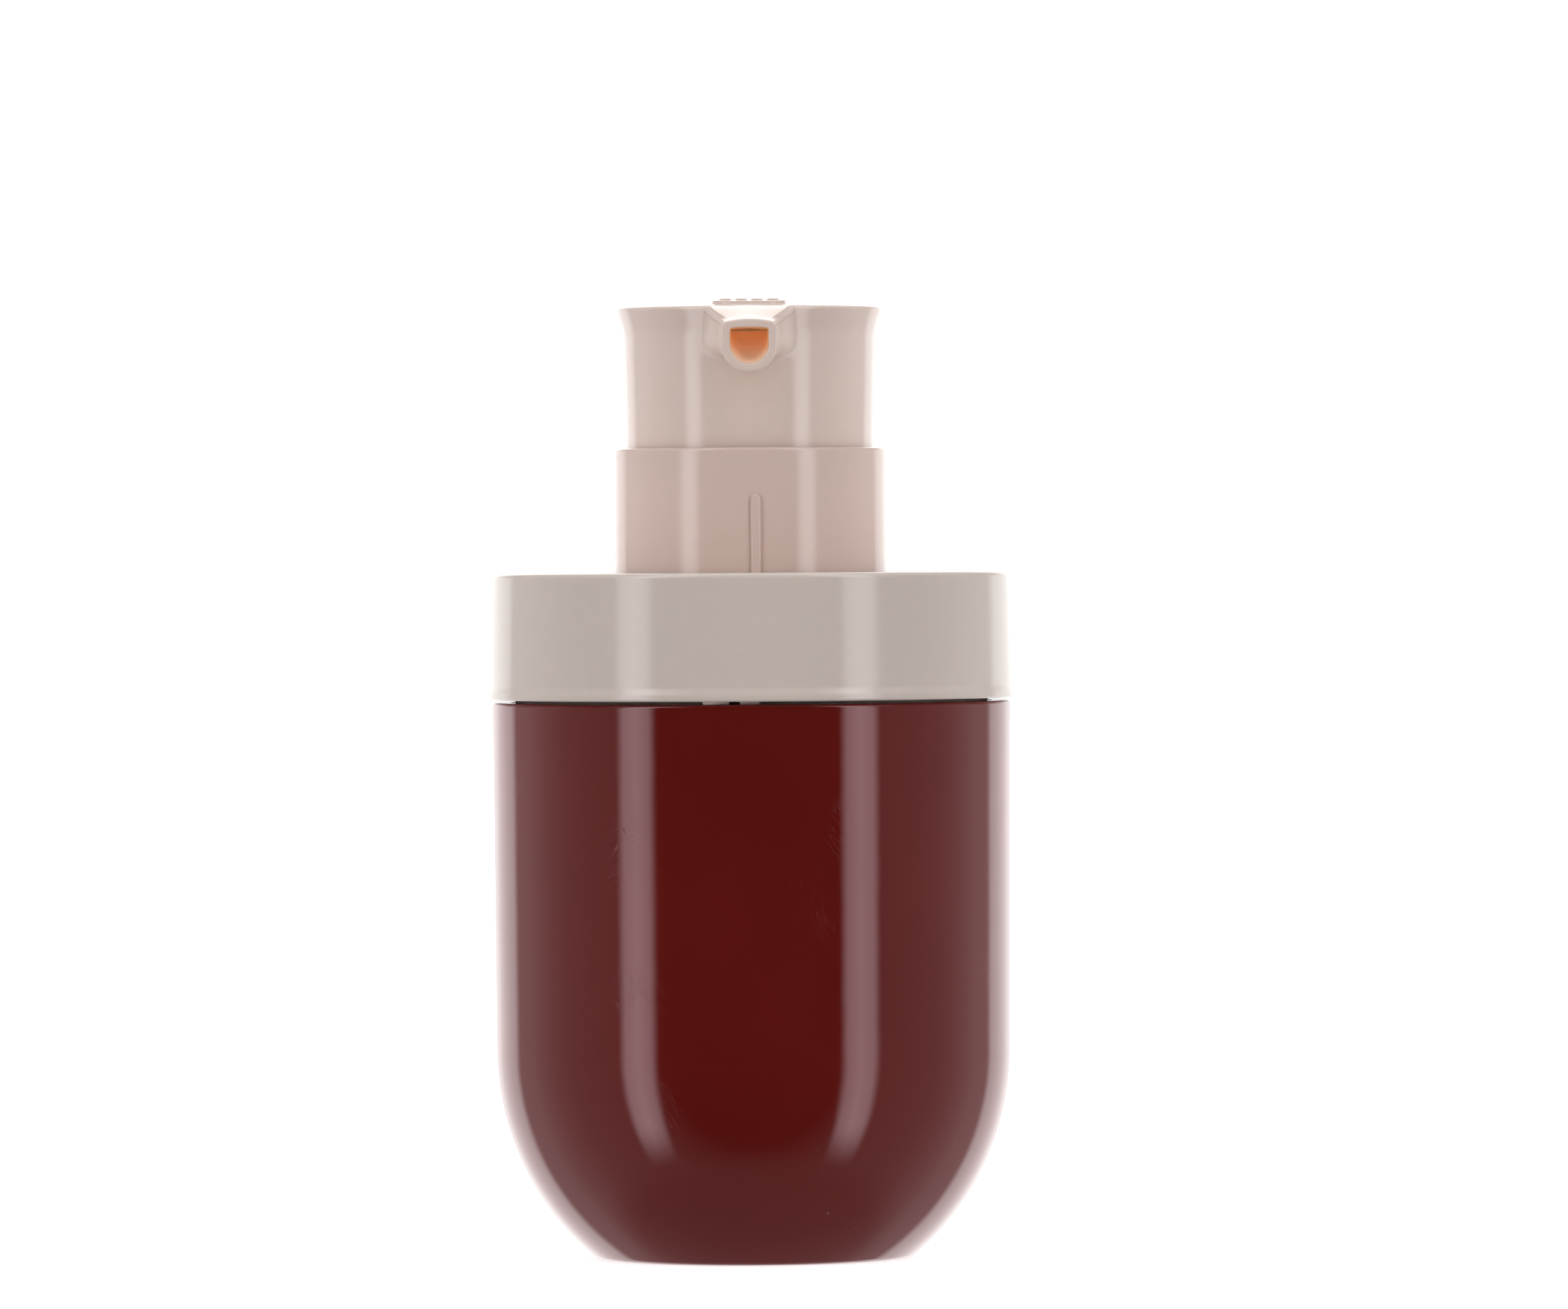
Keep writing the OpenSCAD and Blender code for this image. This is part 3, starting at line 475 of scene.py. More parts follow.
# The outside, the rim, the groove that the collar's bead snaps into, and the inside.
GROOVE_TOP, GROOVE_FOOT, GROOVE_DEPTH, GROOVE_SLOPE = BODY_H - 1.2, BODY_H - 2.9, 0.25, 0.2
INSIDE_R = BODY_R - WALL_T
shell_profile += arc(foot_r, FOOT_R, FOOT_R, -90, foot_angle, 10)
shell_profile += arc(dome_centre, DOME_H, DOME_R, foot_angle, 0, 56)[1:]
shell_profile += rounded([
    (WALL_R, DOME_H, 0), (WALL_R + DRAFT / 2, (DOME_H + BODY_H) / 2, 0), (BODY_R, BODY_H, 0.4),
    (INSIDE_R, BODY_H, 0.3), (INSIDE_R, GROOVE_TOP, 0.2),
    (INSIDE_R + GROOVE_DEPTH, GROOVE_TOP - GROOVE_SLOPE, 0),
    (INSIDE_R + GROOVE_DEPTH, GROOVE_FOOT + GROOVE_SLOPE, 0), (INSIDE_R, GROOVE_FOOT, 0),
    (WALL_R - WALL_T, DOME_H, 0)])[1:]
shell_profile += arc(dome_centre, DOME_H, DOME_R - WALL_T, 0, inner_low, 24)[1:]
shell_profile.append(Vector((0, FLOOR_T)))


def gloss_shell():
    """Deep-coloured glossy plastic: hairline scratches in patches, pale dust, smears and the tool's seam."""
    material, tree, place = open_material("body_gloss")
    flow = noise(place, 0.05, detail=3)
    base = blend_colour(ease(flow, 0.35, 0.65), (0.126, 0.0068, 0.0044), (0.136, 0.0079, 0.0052))
    x, y, z = split(place)
    across = node(tree, "ShaderNodeMath", {"operation": "ARCTAN2"}, {0: x, 1: 0 - y}) * BODY_R
    skin = node(tree, "ShaderNodeCombineXYZ", inputs={0: across, 1: z})
    dust = specks(skin, spacing=5.5, size=0.22, share=0.16)
    base = blend_colour(dust * 0.5, base, (0.42, 0.3, 0.28))
    scratches = None
    for tilt, spacing, offset in ((62, 0.9, 0), (48, 1.3, 40), (-35, 1.7, 90)):
        tilted = node(tree, "ShaderNodeMapping", inputs={
            "Vector": skin, "Rotation": (0, 0, math.radians(tilt)), "Location": (offset, offset, 0)})
        streaks = node(tree, "ShaderNodeMapping", inputs={"Vector": tilted, "Scale": (0.12, 1 / spacing, 1)})
        lines = noise(streaks, 2.2, detail=0)
        thin = 1 - ease(abs(lines - 0.5), 0.002, 0.009)
        patch = ease(noise(tilted, 0.07, detail=1), 0.6, 0.72)
        scratch = thin * patch
        scratches = scratch if scratches is None else scratches.math("MAXIMUM", scratch)
    smear = ease(noise(place, 0.09, detail=4), 0.45, 0.75)
    roughness = 0.035 + smear * 0.03 + scratches * 0.25 + dust * 0.4
    seam = 1 - ease(abs(z - (DOME_H - 0.6)), 0.03, 0.12)
    relief = bump(noise(place, 0.22, detail=1), 0.008)
    relief = bump(seam * -1 + scratches * -0.5 + dust * 0.8, 0.004, strength=0.7, under=relief)
    return finish_material(material, tree, Base_Color=base, Roughness=roughness, Normal=relief, IOR=1.57,
                           Specular_Tint=(1, 0.74, 0.79, 1), Sheen_Weight=0.18, Sheen_Roughness=0.5,
                           Sheen_Tint=(1, 0.05, 0.03, 1))


body_gloss = gloss_shell()
shell = turned("body_shell", shell_profile, body_gloss, segments=288)
stand_for(shell, "outer_shell", "bottle")

# ---- Shoulder collar ----
# The wide pale ring over the bottle's shoulder, moulded in satin plastic. It plugs into the shell
# with a snap bead, a small lip runs round its foot, and pips hold it just clear of the shell's rim.
collar_low, collar_high = corners_of("shoulder_collar")
sleeve_low, sleeve_high = corners_of("guide_sleeve")
LIP_R, COLLAR_TOP = collar_high.x, collar_high.z
SLEEVE_R, SLEEVE_TOP = sleeve_high.x, sleeve_high.z
RIM_GAP, SLEEVE_GAP, PLUG_GAP = 0.34, 0.3, 0.3
COLLAR_T, CEILING_T, PLUG_T = 1.8, 1.6, 1.4
LIP_OUT, LIP_H, LIP_BLEND, COLLAR_DRAFT = 0.22, 0.7, 0.8, 0.25
COLLAR_R, COLLAR_FOOT = LIP_R - LIP_OUT, BODY_H + RIM_GAP
COLLAR_INNER_R, CEILING = COLLAR_R - COLLAR_T, COLLAR_TOP - CEILING_T
HOLE_R = SLEEVE_R + SLEEVE_GAP
PLUG_R, PLUG_FOOT = INSIDE_R - PLUG_GAP, collar_low.z
PLUG_INNER_R = PLUG_R - PLUG_T
BEAD_LOW, BEAD_HIGH, BEAD_SLOPE, BEAD_OUT = PLUG_FOOT + 0.7, PLUG_FOOT + 1.6, 0.2, 0.25
start_z = COLLAR_FOOT + 3
collar_satin = moulded("collar_satin", (0.715, 0.62, 0.56), 0.10, glow=0.08)
collar_profile = rounded([
    (COLLAR_INNER_R, start_z, 0), (COLLAR_INNER_R, COLLAR_FOOT, 0.25), (LIP_R, COLLAR_FOOT, 0.3),
    (LIP_R, COLLAR_FOOT + LIP_H, 1.2), (COLLAR_R, COLLAR_FOOT + LIP_H + LIP_BLEND, 1.4),
    (COLLAR_R - COLLAR_DRAFT, COLLAR_TOP, 0.6), (HOLE_R, COLLAR_TOP, 0.3), (HOLE_R, CEILING, 0.2),
    (PLUG_INNER_R, CEILING, 0.3), (PLUG_INNER_R, PLUG_FOOT, 0.2), (PLUG_R, PLUG_FOOT, 0.3),
    (PLUG_R, BEAD_LOW, 0), (PLUG_R + BEAD_OUT, BEAD_LOW + BEAD_SLOPE, 0),
    (PLUG_R + BEAD_OUT, BEAD_HIGH - BEAD_SLOPE, 0), (PLUG_R, BEAD_HIGH, 0),
    (PLUG_R, CEILING, 0.2), (COLLAR_INNER_R, CEILING, 0.2), (COLLAR_INNER_R, start_z, 0)])
collar = turned("shoulder_ring", collar_profile, collar_satin)
stand_for(collar, "shoulder_collar", "bottle")

# Each pip's place along X and its width; they stand on the rim, under the collar's front wall.
PIPS = ((-4, 3), (-0.2, 2.2))
PIP_IN, PIP_DEPTH, PIP_H, PIP_ROUND = 1.5, 0.8, 0.5, 0.08
pip_points, pip_faces = [], []
for pip_x, pip_w in PIPS:
    work = bmesh.new()
    bmesh.ops.create_cube(work, size=1)
    for v in work.verts:
        v.co = Vector((pip_x + v.co.x * pip_w, PIP_IN - COLLAR_R + v.co.y * PIP_DEPTH,
                       BODY_H + (0.5 + v.co.z) * PIP_H)) * mm
    bmesh.ops.bevel(work, geom=work.edges[:], offset=PIP_ROUND * mm, segments=2, affect="EDGES")
    first = len(pip_points)
    pip_points += [v.co.copy() for v in work.verts]
    work.verts.index_update()
    pip_faces += [[first + v.index for v in f.verts] for f in work.faces]
    work.free()
add_to(new_piece("spacer_pips", pip_points, pip_faces, collar_satin), "bottle")

# ---- Guide sleeve ----
# The pale pink moulded tube that the head slides in, pushed over the screw closure so that both turn
# as one. A slim index rib with a round top end stands on its front.
sleeve_satin = moulded("sleeve_satin", (0.77, 0.60, 0.54), 0.10, dust=0.05, glow=0.08)
SLEEVE_T, FLANGE = 0.85, 0.9
BORE_R, SLEEVE_FOOT = SLEEVE_R - SLEEVE_T, sleeve_low.z
sleeve_middle = (SLEEVE_FOOT + SLEEVE_TOP) / 2
sleeve_profile = rounded([
    (BORE_R, sleeve_middle, 0), (BORE_R, SLEEVE_FOOT + FLANGE, 0.2),
    (BORE_R - FLANGE, SLEEVE_FOOT + FLANGE, 0.2), (BORE_R - FLANGE, SLEEVE_FOOT, 0.2),
    (SLEEVE_R, SLEEVE_FOOT, 0.3), (SLEEVE_R, SLEEVE_TOP, 0.35), (BORE_R, SLEEVE_TOP, 0.2),
    (BORE_R, sleeve_middle, 0)])
sleeve = turned("guide_tube", sleeve_profile, sleeve_satin)
stand_for(sleeve, "guide_sleeve", "closure")


def skin_through(loops):
    """Points and faces of a closed skin through loops of points, with a flat face at each end."""
    count = len(loops[0])
    points = [point for loop in loops for point in loop]
    faces = []
    for first in range(0, len(points) - count, count):
        for k in range(count):
            after = (k + 1) % count
            faces.append((first + k, first + after, first + count + after, first + count + k))
    faces.append(tuple(range(count))[::-1])
    faces.append(tuple(range(len(points) - count, len(points))))
    return points, faces


def raised(half_length, half_width, layers, place, ends=10):
    """A raised stadium: layers of (inset, height) from foot to top, set down by place(u, v, height)."""
    loops = []
    for inset, height in layers:
        radius = half_width - inset
        straight = half_length - half_width
        side = [(straight + radius * math.cos(a), radius * math.sin(a))
                for a in np.linspace(-math.pi / 2, math.pi / 2, ends + 1)]
        loops.append([place(u, v, height) for u, v in side + [(-u, -v) for u, v in side]])
    return skin_through(loops)


def rolled_edge(foot, top, radius, steps):
    """Layers of an upright edge from its foot, rounded over into its top."""
    over = [(radius * (1 - math.cos(a)), top - radius + radius * math.sin(a)) for a in quarter(steps)]
    return [(0, foot)] + over


RIB_X, RIB_W, RIB_H, RIB_OUT, RIB_ROUND = 0.6, 1.06, 8.9, 0.35, 0.16
RIB_SUNK, RIB_BELOW = 0.3, 2
RIB_FOOT, RIB_TOP = COLLAR_TOP - RIB_BELOW, COLLAR_TOP + RIB_H


def on_sleeve(u, v, height):
    """A point of the rib: along it, across it, and out from the sleeve's skin."""
    radius = SLEEVE_R + height
    angle = (RIB_X + v) / SLEEVE_R
    return Vector((radius * math.sin(angle), -radius * math.cos(angle), (RIB_FOOT + RIB_TOP) / 2 + u)) * mm


rib_edge = [(0, -RIB_SUNK)] + rolled_edge(0.02, RIB_OUT, RIB_ROUND, 4) + [(0.3, RIB_OUT)]
rib_points, rib_faces = raised((RIB_TOP - RIB_FOOT) / 2, RIB_W / 2, rib_edge, on_sleeve)
add_to(new_piece("index_rib", rib_points, rib_faces, sleeve_satin), "closure")

# ---- Screw closure and pump engine ----
# The threaded cap inside the sleeve, and what hangs from it: housing with ball chamber, chaplet,
# spring cup and stem in natural plastic, soft seals and piston, steel balls. All hidden in use.
natural_engine = moulded("natural_engine", (0.78, 0.75, 0.69), 0.3, grain=0.003, mottle=0.05, glow=0.25)
dress(natural_engine, "screw_closure", "pump_housing", "chaplet", "spring_cup", "stem")
soft_seal = moulded("soft_seal", (0.27, 0.25, 0.22), 0.55, grain=0.006, mottle=0.12)
dress(soft_seal, "neck_gasket", "stem_wiper", "piston", "outlet_seat")


def steel(name, colour, roughness, draw):
    """Bright stainless steel with fine drawing lines along Z, as strong as draw, and faint stains."""
    material, tree, place = open_material(name)
    lines = noise(place, 6, detail=3, stretch=(1, 1, 0.05))
    stain = ease(noise(place, 0.7, detail=3), 0.4, 0.7)
    base = blend_colour(stain, colour, tuple(c * 0.82 for c in colour))
    return finish_material(material, tree, Base_Color=base, Metallic=1.0, Roughness=roughness + lines * draw,
                           Normal=bump(lines, draw * 0.01))


dress(steel("ball_steel", (0.66, 0.67, 0.69), 0.06, 0.05), "inlet_ball", "outlet_ball")

# ---- Return spring ----
# Drawn stainless wire, coiled to stand in the spring cup and carry the stem's shoe.
WIRE_R, TURNS, TURN_STEPS, WIRE_SIDES = 0.35, 7.5, 36, 12
END_SHARE, END_RISE = 0.1, 0.035
spring_low, spring_high = corners_of("return_spring")
COIL_R = spring_high.x - WIRE_R
SPRING_LENGTH = spring_high.z - spring_low.z
STROKE = next(j for j in frame["record"]["behaviour"]["joints"] if j["name"] == "press")["range_m"][1] / mm
spring_loops = []
for i in range(int(TURNS * TURN_STEPS) + 1):
    share = i / (TURNS * TURN_STEPS)
    rise = np.interp(share, [0, END_SHARE, 1 - END_SHARE, 1], [0, END_RISE, 1 - END_RISE, 1])
    wire_z = spring_low.z + WIRE_R + (SPRING_LENGTH - 2 * WIRE_R) * rise
    turn = 2 * math.pi * i / TURN_STEPS
    loop = []
    for around in np.arange(WIRE_SIDES) * 2 * math.pi / WIRE_SIDES:
        radius = COIL_R + WIRE_R * math.cos(around)
        loop.append(Vector((radius * math.cos(turn), radius * math.sin(turn),
                            wire_z + WIRE_R * math.sin(around))) * mm)
    spring_loops.append(loop)
spring_steel = steel("spring_steel", (0.62, 0.63, 0.65), 0.18, 0.3)
spring = new_piece("coil_spring", *skin_through(spring_loops), spring_steel)
stand_for(spring, "return_spring", "engine")
1 - STROKE / SPRING_LENGTH
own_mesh(spring)

# ---- Actuator ----
# The head that the thumb presses, moulded in one piece and pushed onto the stem: a drafted barrel
# with a flared rim and a crowned top, and a drooping spout that ends in an arched D-shaped face.
head_low, head_high = corners_of("actuator_shell")
actuator_satin = moulded("actuator_satin", (0.835, 0.68, 0.61), 0.10, glow=0.08)
PAD_H, MARK_H = 0.7, 0.2
RIM_R, RIM_Z = head_high.x, head_high.z - PAD_H - MARK_H
HEAD_FOOT, FACE_Y = head_low.z, head_low.y
BARREL_R, WALL_TOP_R = RIM_R - 1.2, RIM_R - 0.92
BARREL_T, TOP_T = 1.2, 1.6
FLARE, FLARE_ROUND, RIM_ROUND = math.radians(17.5), 4.5, 0.35
CROWN, CROWN_EDGE_R = 0.6, RIM_R - 2
SKIN_STEP = 0.38
flare_z = RIM_Z - (RIM_R - WALL_TOP_R) / math.tan(FLARE)
join_z = HEAD_FOOT + 1
crown_sphere_r = (RIM_R ** 2 + CROWN ** 2) / (2 * CROWN)


def crown_z(r):
    return RIM_Z + CROWN - crown_sphere_r + math.sqrt(crown_sphere_r ** 2 - r ** 2)


def resample(points, spacing):
    """Breaks the long steps of a profile into steps of at most a spacing."""
    fine = [points[0]]
    for a, b in zip(points, points[1:]):
        pieces = max(1, math.ceil((b - a).length / spacing))
        fine += [a.lerp(b, k / pieces) for k in range(1, pieces + 1)]
    return fine


inside = rounded([
    (0, RIM_Z - TOP_T, 0), (BARREL_R - BARREL_T, RIM_Z - TOP_T, 0.4), (BARREL_R - BARREL_T, HEAD_FOOT, 0.25),
    (BARREL_R, HEAD_FOOT, 0.3), (BARREL_R, join_z, 0)])
outside = rounded([
    (BARREL_R, join_z, 0), (WALL_TOP_R, flare_z, FLARE_ROUND), (RIM_R, RIM_Z, RIM_ROUND),
    (CROWN_EDGE_R, crown_z(CROWN_EDGE_R), 0)], steps=8)[1:]
top = [Vector((r, crown_z(r))) for r in np.linspace(CROWN_EDGE_R, 0, 16)][1:]
head_rows = inside + resample([inside[-1]] + outside, SKIN_STEP)[1:] + top
lengths = np.concatenate([[0], np.cumsum([(b - a).length for a, b in zip(head_rows, head_rows[1:])])])


def on_head(angle, length):
    """The point of the head at an angle from the front, and a length along its profile."""
    r = np.interp(length, lengths, [p.x for p in head_rows])
    z = np.interp(length, lengths, [p.y for p in head_rows])
    return Vector((r * math.sin(angle), -r * math.cos(angle), z))


# The spout grows out of a hole in the turned skin, HOLE_HALF columns to each side of the front, from
# HOLE_DEEP under the rim to just past it. Its root is a D drawn on the skin inside that hole: an arc
# below, sides that lean in, and a top that follows the rim.
HEAD_SEGMENTS, HOLE_HALF, ARC_ROWS = 256, 19, 9
HOLE_DEEP, ROOT_DEEP = 7.4, 6.6
RIM_BAND = RIM_ROUND + 0.01
ROOT_ANGLE, TIP_ANGLE, ROOT_ROUND = math.radians(22.4), math.radians(16.8), 0.8
column = 2 * math.pi / HEAD_SEGMENTS
hole_first = min(i for i, p in enumerate(head_rows) if p.x > BARREL_R - 0.1 and p.y > RIM_Z - HOLE_DEEP)
rim_first = min(i for i, p in enumerate(head_rows) if i > hole_first and p.y > RIM_Z - RIM_BAND)
rim_last = max(i for i, p in enumerate(head_rows) if p.x > RIM_R - RIM_BAND)
hole_last = rim_last + 2
hole_rows = hole_last - hole_first
corner_rows = rim_last - rim_first
straight_rows = rim_first - hole_first - ARC_ROWS
arc_length = lengths[hole_first + ARC_ROWS]
front_rows = slice(hole_first - 4, rim_first)
root_low = np.interp(RIM_Z - ROOT_DEEP, [p.y for p in head_rows[front_rows]], lengths[front_rows])


def half_ring(side, under, over):
    """Loop of a D shape, mirrored: half its foot, a side of hole_rows rows, and half its top."""
    half = [under(k / HOLE_HALF) for k in range(HOLE_HALF)]
    half += [side(j) for j in range(hole_rows + 1)]
    half += [over(1 - k / HOLE_HALF) for k in range(1, HOLE_HALF + 1)]
    return half + [(-x, z) for x, z in half[-2:0:-1]]


def root_arc(a):
    """The root's arc, from the front at a quarter turn to the side at 0."""
    drop = (arc_length - root_low) * math.sin(a) ** ROOT_ROUND
    return (ROOT_ANGLE * math.cos(a) ** ROOT_ROUND, arc_length - drop)


def root_side(j):
    if j <= ARC_ROWS:
        return root_arc(math.pi / 4 * (1 - j / ARC_ROWS))
    narrowing = ((j - ARC_ROWS) / (hole_rows - ARC_ROWS)) ** 3
    return (ROOT_ANGLE + (TIP_ANGLE - ROOT_ANGLE) * narrowing, lengths[hole_first + j])


def root_under(k):
    return root_arc(math.pi / 2 - math.pi / 4 * k) if k else (0.0, root_low)


def root_over(k):
    return (TIP_ANGLE * k, lengths[hole_last] - 0.05 * (1 - k))


root_loop = half_ring(root_side, root_under, root_over)
hole_loop = half_ring(lambda j: (HOLE_HALF * column, lengths[hole_first + j]),
                      lambda k: (k * HOLE_HALF * column, lengths[hole_first]),
                      lambda k: (k * HOLE_HALF * column, lengths[hole_last]))


def d_loop(half_w, low, high, arch, corner):
    """A D shape in x and z: round below, straight sides, rounded corners and an arched top."""
    arch_r = (half_w ** 2 + arch ** 2) / (2 * arch)
    corner_x = half_w - corner
    corner_z = high - arch_r + math.sqrt((arch_r - corner) ** 2 - corner_x ** 2)
    meet = math.atan2(corner_z - high + arch_r, corner_x)
    row_share = 0.02
    past_corner = row_share * (hole_last - rim_last)

    def round_foot(a):
        return (half_w * math.cos(a), low + half_w + half_w * math.sin(a))

    def on_arch(t):
        a = meet + (math.pi / 2 - meet) * t
        return (arch_r * math.cos(a) if t < 1 else 0.0, high - arch_r + arch_r * math.sin(a))

    def side(j):
        if j <= ARC_ROWS:
            return round_foot(-math.pi / 4 + math.pi / 4 * j / ARC_ROWS)
        if j <= ARC_ROWS + straight_rows:
            return (half_w, low + half_w + (corner_z - low - half_w) * (j - ARC_ROWS) / straight_rows)
        if j <= rim_last - hole_first:
            a = meet * (j - ARC_ROWS - straight_rows) / corner_rows
            return (corner_x + corner * math.cos(a), corner_z + corner * math.sin(a))
        return on_arch(row_share * (j - rim_last + hole_first))

    return half_ring(side, lambda k: round_foot(-math.pi / 2 + math.pi / 4 * k) if k else (0.0, low),
                     lambda k: on_arch(past_corner + (1 - past_corner) * (1 - k)))


FACE_W, FACE_H, FACE_ARCH, FACE_CORNER, FACE_EDGE = 6.3, 6.1, 0.42, 0.72, 0.28
FACE_LOW = RIM_Z - 7.65
MOUTH_W, MOUTH_ARCH, MOUTH_CORNER, MOUTH_EDGE, MOUTH_DEEP = 4.4, 0.12, 0.3, 0.14, 7
MOUTH_LOW, MOUTH_HIGH = FACE_LOW + 0.98, FACE_LOW + 5.12
DROOP = math.radians(13)
SPOUT_STEPS = 24
LOW_PULL, RIM_PULL, TIP_PULL = 0.5, 1.0, 1.1


def face_loop(inset, depth, corner=FACE_CORNER):
    """A loop of the spout's face, at an inset from its edge and a depth behind it."""
    shape = d_loop(FACE_W / 2 - inset, FACE_LOW + inset, FACE_LOW + FACE_H - inset, FACE_ARCH, corner - inset)
    return [Vector((x, FACE_Y + depth, z)) for x, z in shape]


def mouth_loop(widening, depth):
    """A loop of the mouth, wider than its bore by a little at its edge."""
    shape = d_loop(MOUTH_W / 2 + widening, MOUTH_LOW - widening, MOUTH_HIGH + widening, MOUTH_ARCH,
                   MOUTH_CORNER + widening)
    return [Vector((x, FACE_Y + depth, z)) for x, z in shape]


head_points, head_faces = [], []


def add_loop(points):
    first = len(head_points)
    head_points.extend(p * mm for p in points)
    return list(range(first, first + len(points)))


def bridge(one, two):
    """Closes the skin between two loops and gives back the second, for the next one."""
    for k, here in enumerate(one):
        after = (k + 1) % len(one)
        head_faces.append((here, one[after], two[after], two[k]))
    return two


# The turned skin, with the hole for the spout left open.
grid = []
for p in head_rows:
    if p.x < 1e-6:
        grid.append(add_loop([Vector((0, 0, p.y))]) * HEAD_SEGMENTS)
    else:
        grid.append(add_loop([Vector((p.x * math.sin(a), -p.x * math.cos(a), p.y))
                              for a in np.arange(HEAD_SEGMENTS) * 2 * math.pi / HEAD_SEGMENTS]))
for i in range(len(head_rows) - 1):
    for k in range(HEAD_SEGMENTS):
        after = (k + 1) % HEAD_SEGMENTS
        from_front = (k + HEAD_SEGMENTS // 2) % HEAD_SEGMENTS - HEAD_SEGMENTS // 2
        if hole_first <= i < hole_last and -HOLE_HALF <= from_front < HOLE_HALF:
            continue
        face = (grid[i][k], grid[i][after], grid[i + 1][after], grid[i + 1][k])
        head_faces.append(tuple(dict.fromkeys(face)))

# The hole's edge from the front's foot round by the right, and three loops from it to the root.
last_loop = [grid[hole_first][k] for k in range(HOLE_HALF)]
last_loop += [grid[hole_first + j][HOLE_HALF] for j in range(hole_rows + 1)]
last_loop += [grid[hole_last][HOLE_HALF - k] for k in range(1, HOLE_HALF + 1)]
last_loop += [grid[hole_last][-k] for k in range(1, HOLE_HALF + 1)]
last_loop += [grid[hole_last - j][-HOLE_HALF] for j in range(1, hole_rows + 1)]
last_loop += [grid[hole_first][-HOLE_HALF + k] for k in range(1, HOLE_HALF)]
for share in (0.34, 0.67, 1.0):
    last_loop = bridge(last_loop, add_loop([on_head(a + (c - a) * share, b + (d - b) * share)
                                            for (a, b), (c, d) in zip(hole_loop, root_loop)]))

# From each point of the root a strand leaves inwards along the head's skin, square to the root, and
# arrives at the face along the spout's drooping axis. The strands pull less low down, which keeps
# the fillet under the spout tight.
starts = [on_head(a, b) for a, b in root_loop]
leave = []
for k, (angle, length) in enumerate(root_loop):
    before, after = root_loop[k - 1], root_loop[(k + 1) % len(root_loop)]
    along, rise = (after[0] - before[0]) * RIM_R, after[1] - before[1]
    inward = 0.05 / math.hypot(along, rise)
    leave.append((on_head(angle - rise * inward / RIM_R, length + along * inward) - starts[k]).normalized())
arrive = Vector((0, -math.cos(DROOP), -math.sin(DROOP)))
strands = list(zip(starts, leave, face_loop(0, FACE_EDGE, corner=FACE_CORNER - 0.02)))
for t in np.arange(1, SPOUT_STEPS + 1) / SPOUT_STEPS:
    points = []
    for start, out, end in strands:
        reach = (end - start).length
        pull = np.interp(start.z, [RIM_Z - 4, RIM_Z - 0.5], [LOW_PULL, RIM_PULL])
        points.append(start * (2 * t ** 3 - 3 * t ** 2 + 1) + out * (t ** 3 - 2 * t ** 2 + t) * reach * pull
                      + end * (3 * t ** 2 - 2 * t ** 3) + arrive * (t ** 3 - t ** 2) * reach * TIP_PULL)
    last_loop = bridge(last_loop, add_loop(points))

# The face's rounded edge, its flat, the mouth's rounded edge and the bore behind it.
mouth_edge = mouth_loop(MOUTH_EDGE, 0)
face_rings = [face_loop(FACE_EDGE * (1 - math.cos(a)), FACE_EDGE * (1 - math.sin(a))) for a in quarter(5)[1:]]
face_rings.append([p.lerp(q, 0.12) for p, q in zip(face_rings[-1], mouth_edge)])
face_rings.append([p.lerp(q, 0.85) for p, q in zip(face_rings[-2], mouth_edge)])
face_rings += [mouth_loop(MOUTH_EDGE * (1 - math.sin(a)), MOUTH_EDGE * (1 - math.cos(a))) for a in quarter(4)]
face_rings += [mouth_loop(0, depth) for depth in (0.3, 1.2, 3, 5, MOUTH_DEEP)]
for ring in face_rings:
    last_loop = bridge(last_loop, add_loop(ring))
middle = add_loop([Vector((0, FACE_Y + MOUTH_DEEP, (MOUTH_LOW + MOUTH_HIGH) / 2))])[0]
for k, here in enumerate(last_loop):
    head_faces.append((here, last_loop[(k + 1) % len(last_loop)], middle))

head = new_piece("press_head", head_points, head_faces, actuator_satin)
stand_for(head, "actuator_shell", "head")

# ---- Pad and marks on the head ----
# A low raised pad at the front edge of the crowned top, moulded with the head, and four plain raised
# ticks on it that show which way the head turns.
PAD_W, PAD_DEPTH, PAD_SLOPE = 8.4, 4.6, 0.06
PAD_Y = 1.4 + PAD_DEPTH / 2 - RIM_R


def pad_top(v):
    return RIM_Z + PAD_H + PAD_SLOPE * v


def on_crown(u, v, share):
    """A point of the pad's side: share 0 on the crown, 1 on the pad's top, which slopes to the front."""
    foot = crown_z(math.hypot(u, PAD_Y + v))
    return Vector((u, PAD_Y + v, foot + (pad_top(v) - foot) * share)) * mm


# The pad's edge as (inset, share): a skirt sunk into the crown, a hollow fillet and a rounded top.
pad_edge = [(-0.3, -0.4), (-0.3, -0.02), (-0.16, 0.05), (-0.06, 0.18), (0, 0.42)]
pad_edge += [(0.13 * (1 - math.cos(a)), 0.74 + 0.26 * math.sin(a)) for a in quarter(4)] + [(0.3, 1)]
pad_points, pad_faces = raised(PAD_W / 2, PAD_DEPTH / 2, pad_edge, on_crown, ends=16)
add_to(new_piece("thumb_pad", pad_points, pad_faces, actuator_satin), "head")

MARKS, MARK_PITCH, MARK_L, MARK_W = 4, 1.8, 1.3, 0.8
MARK_BACK, MARK_SUNK, MARK_ROUND = 0.3, 0.1, 0.06


def on_pad(u, v, height):
    """A point of a tick, above the pad's slope."""
    return Vector((u, PAD_Y + v + MARK_BACK, pad_top(v) + height)) * mm


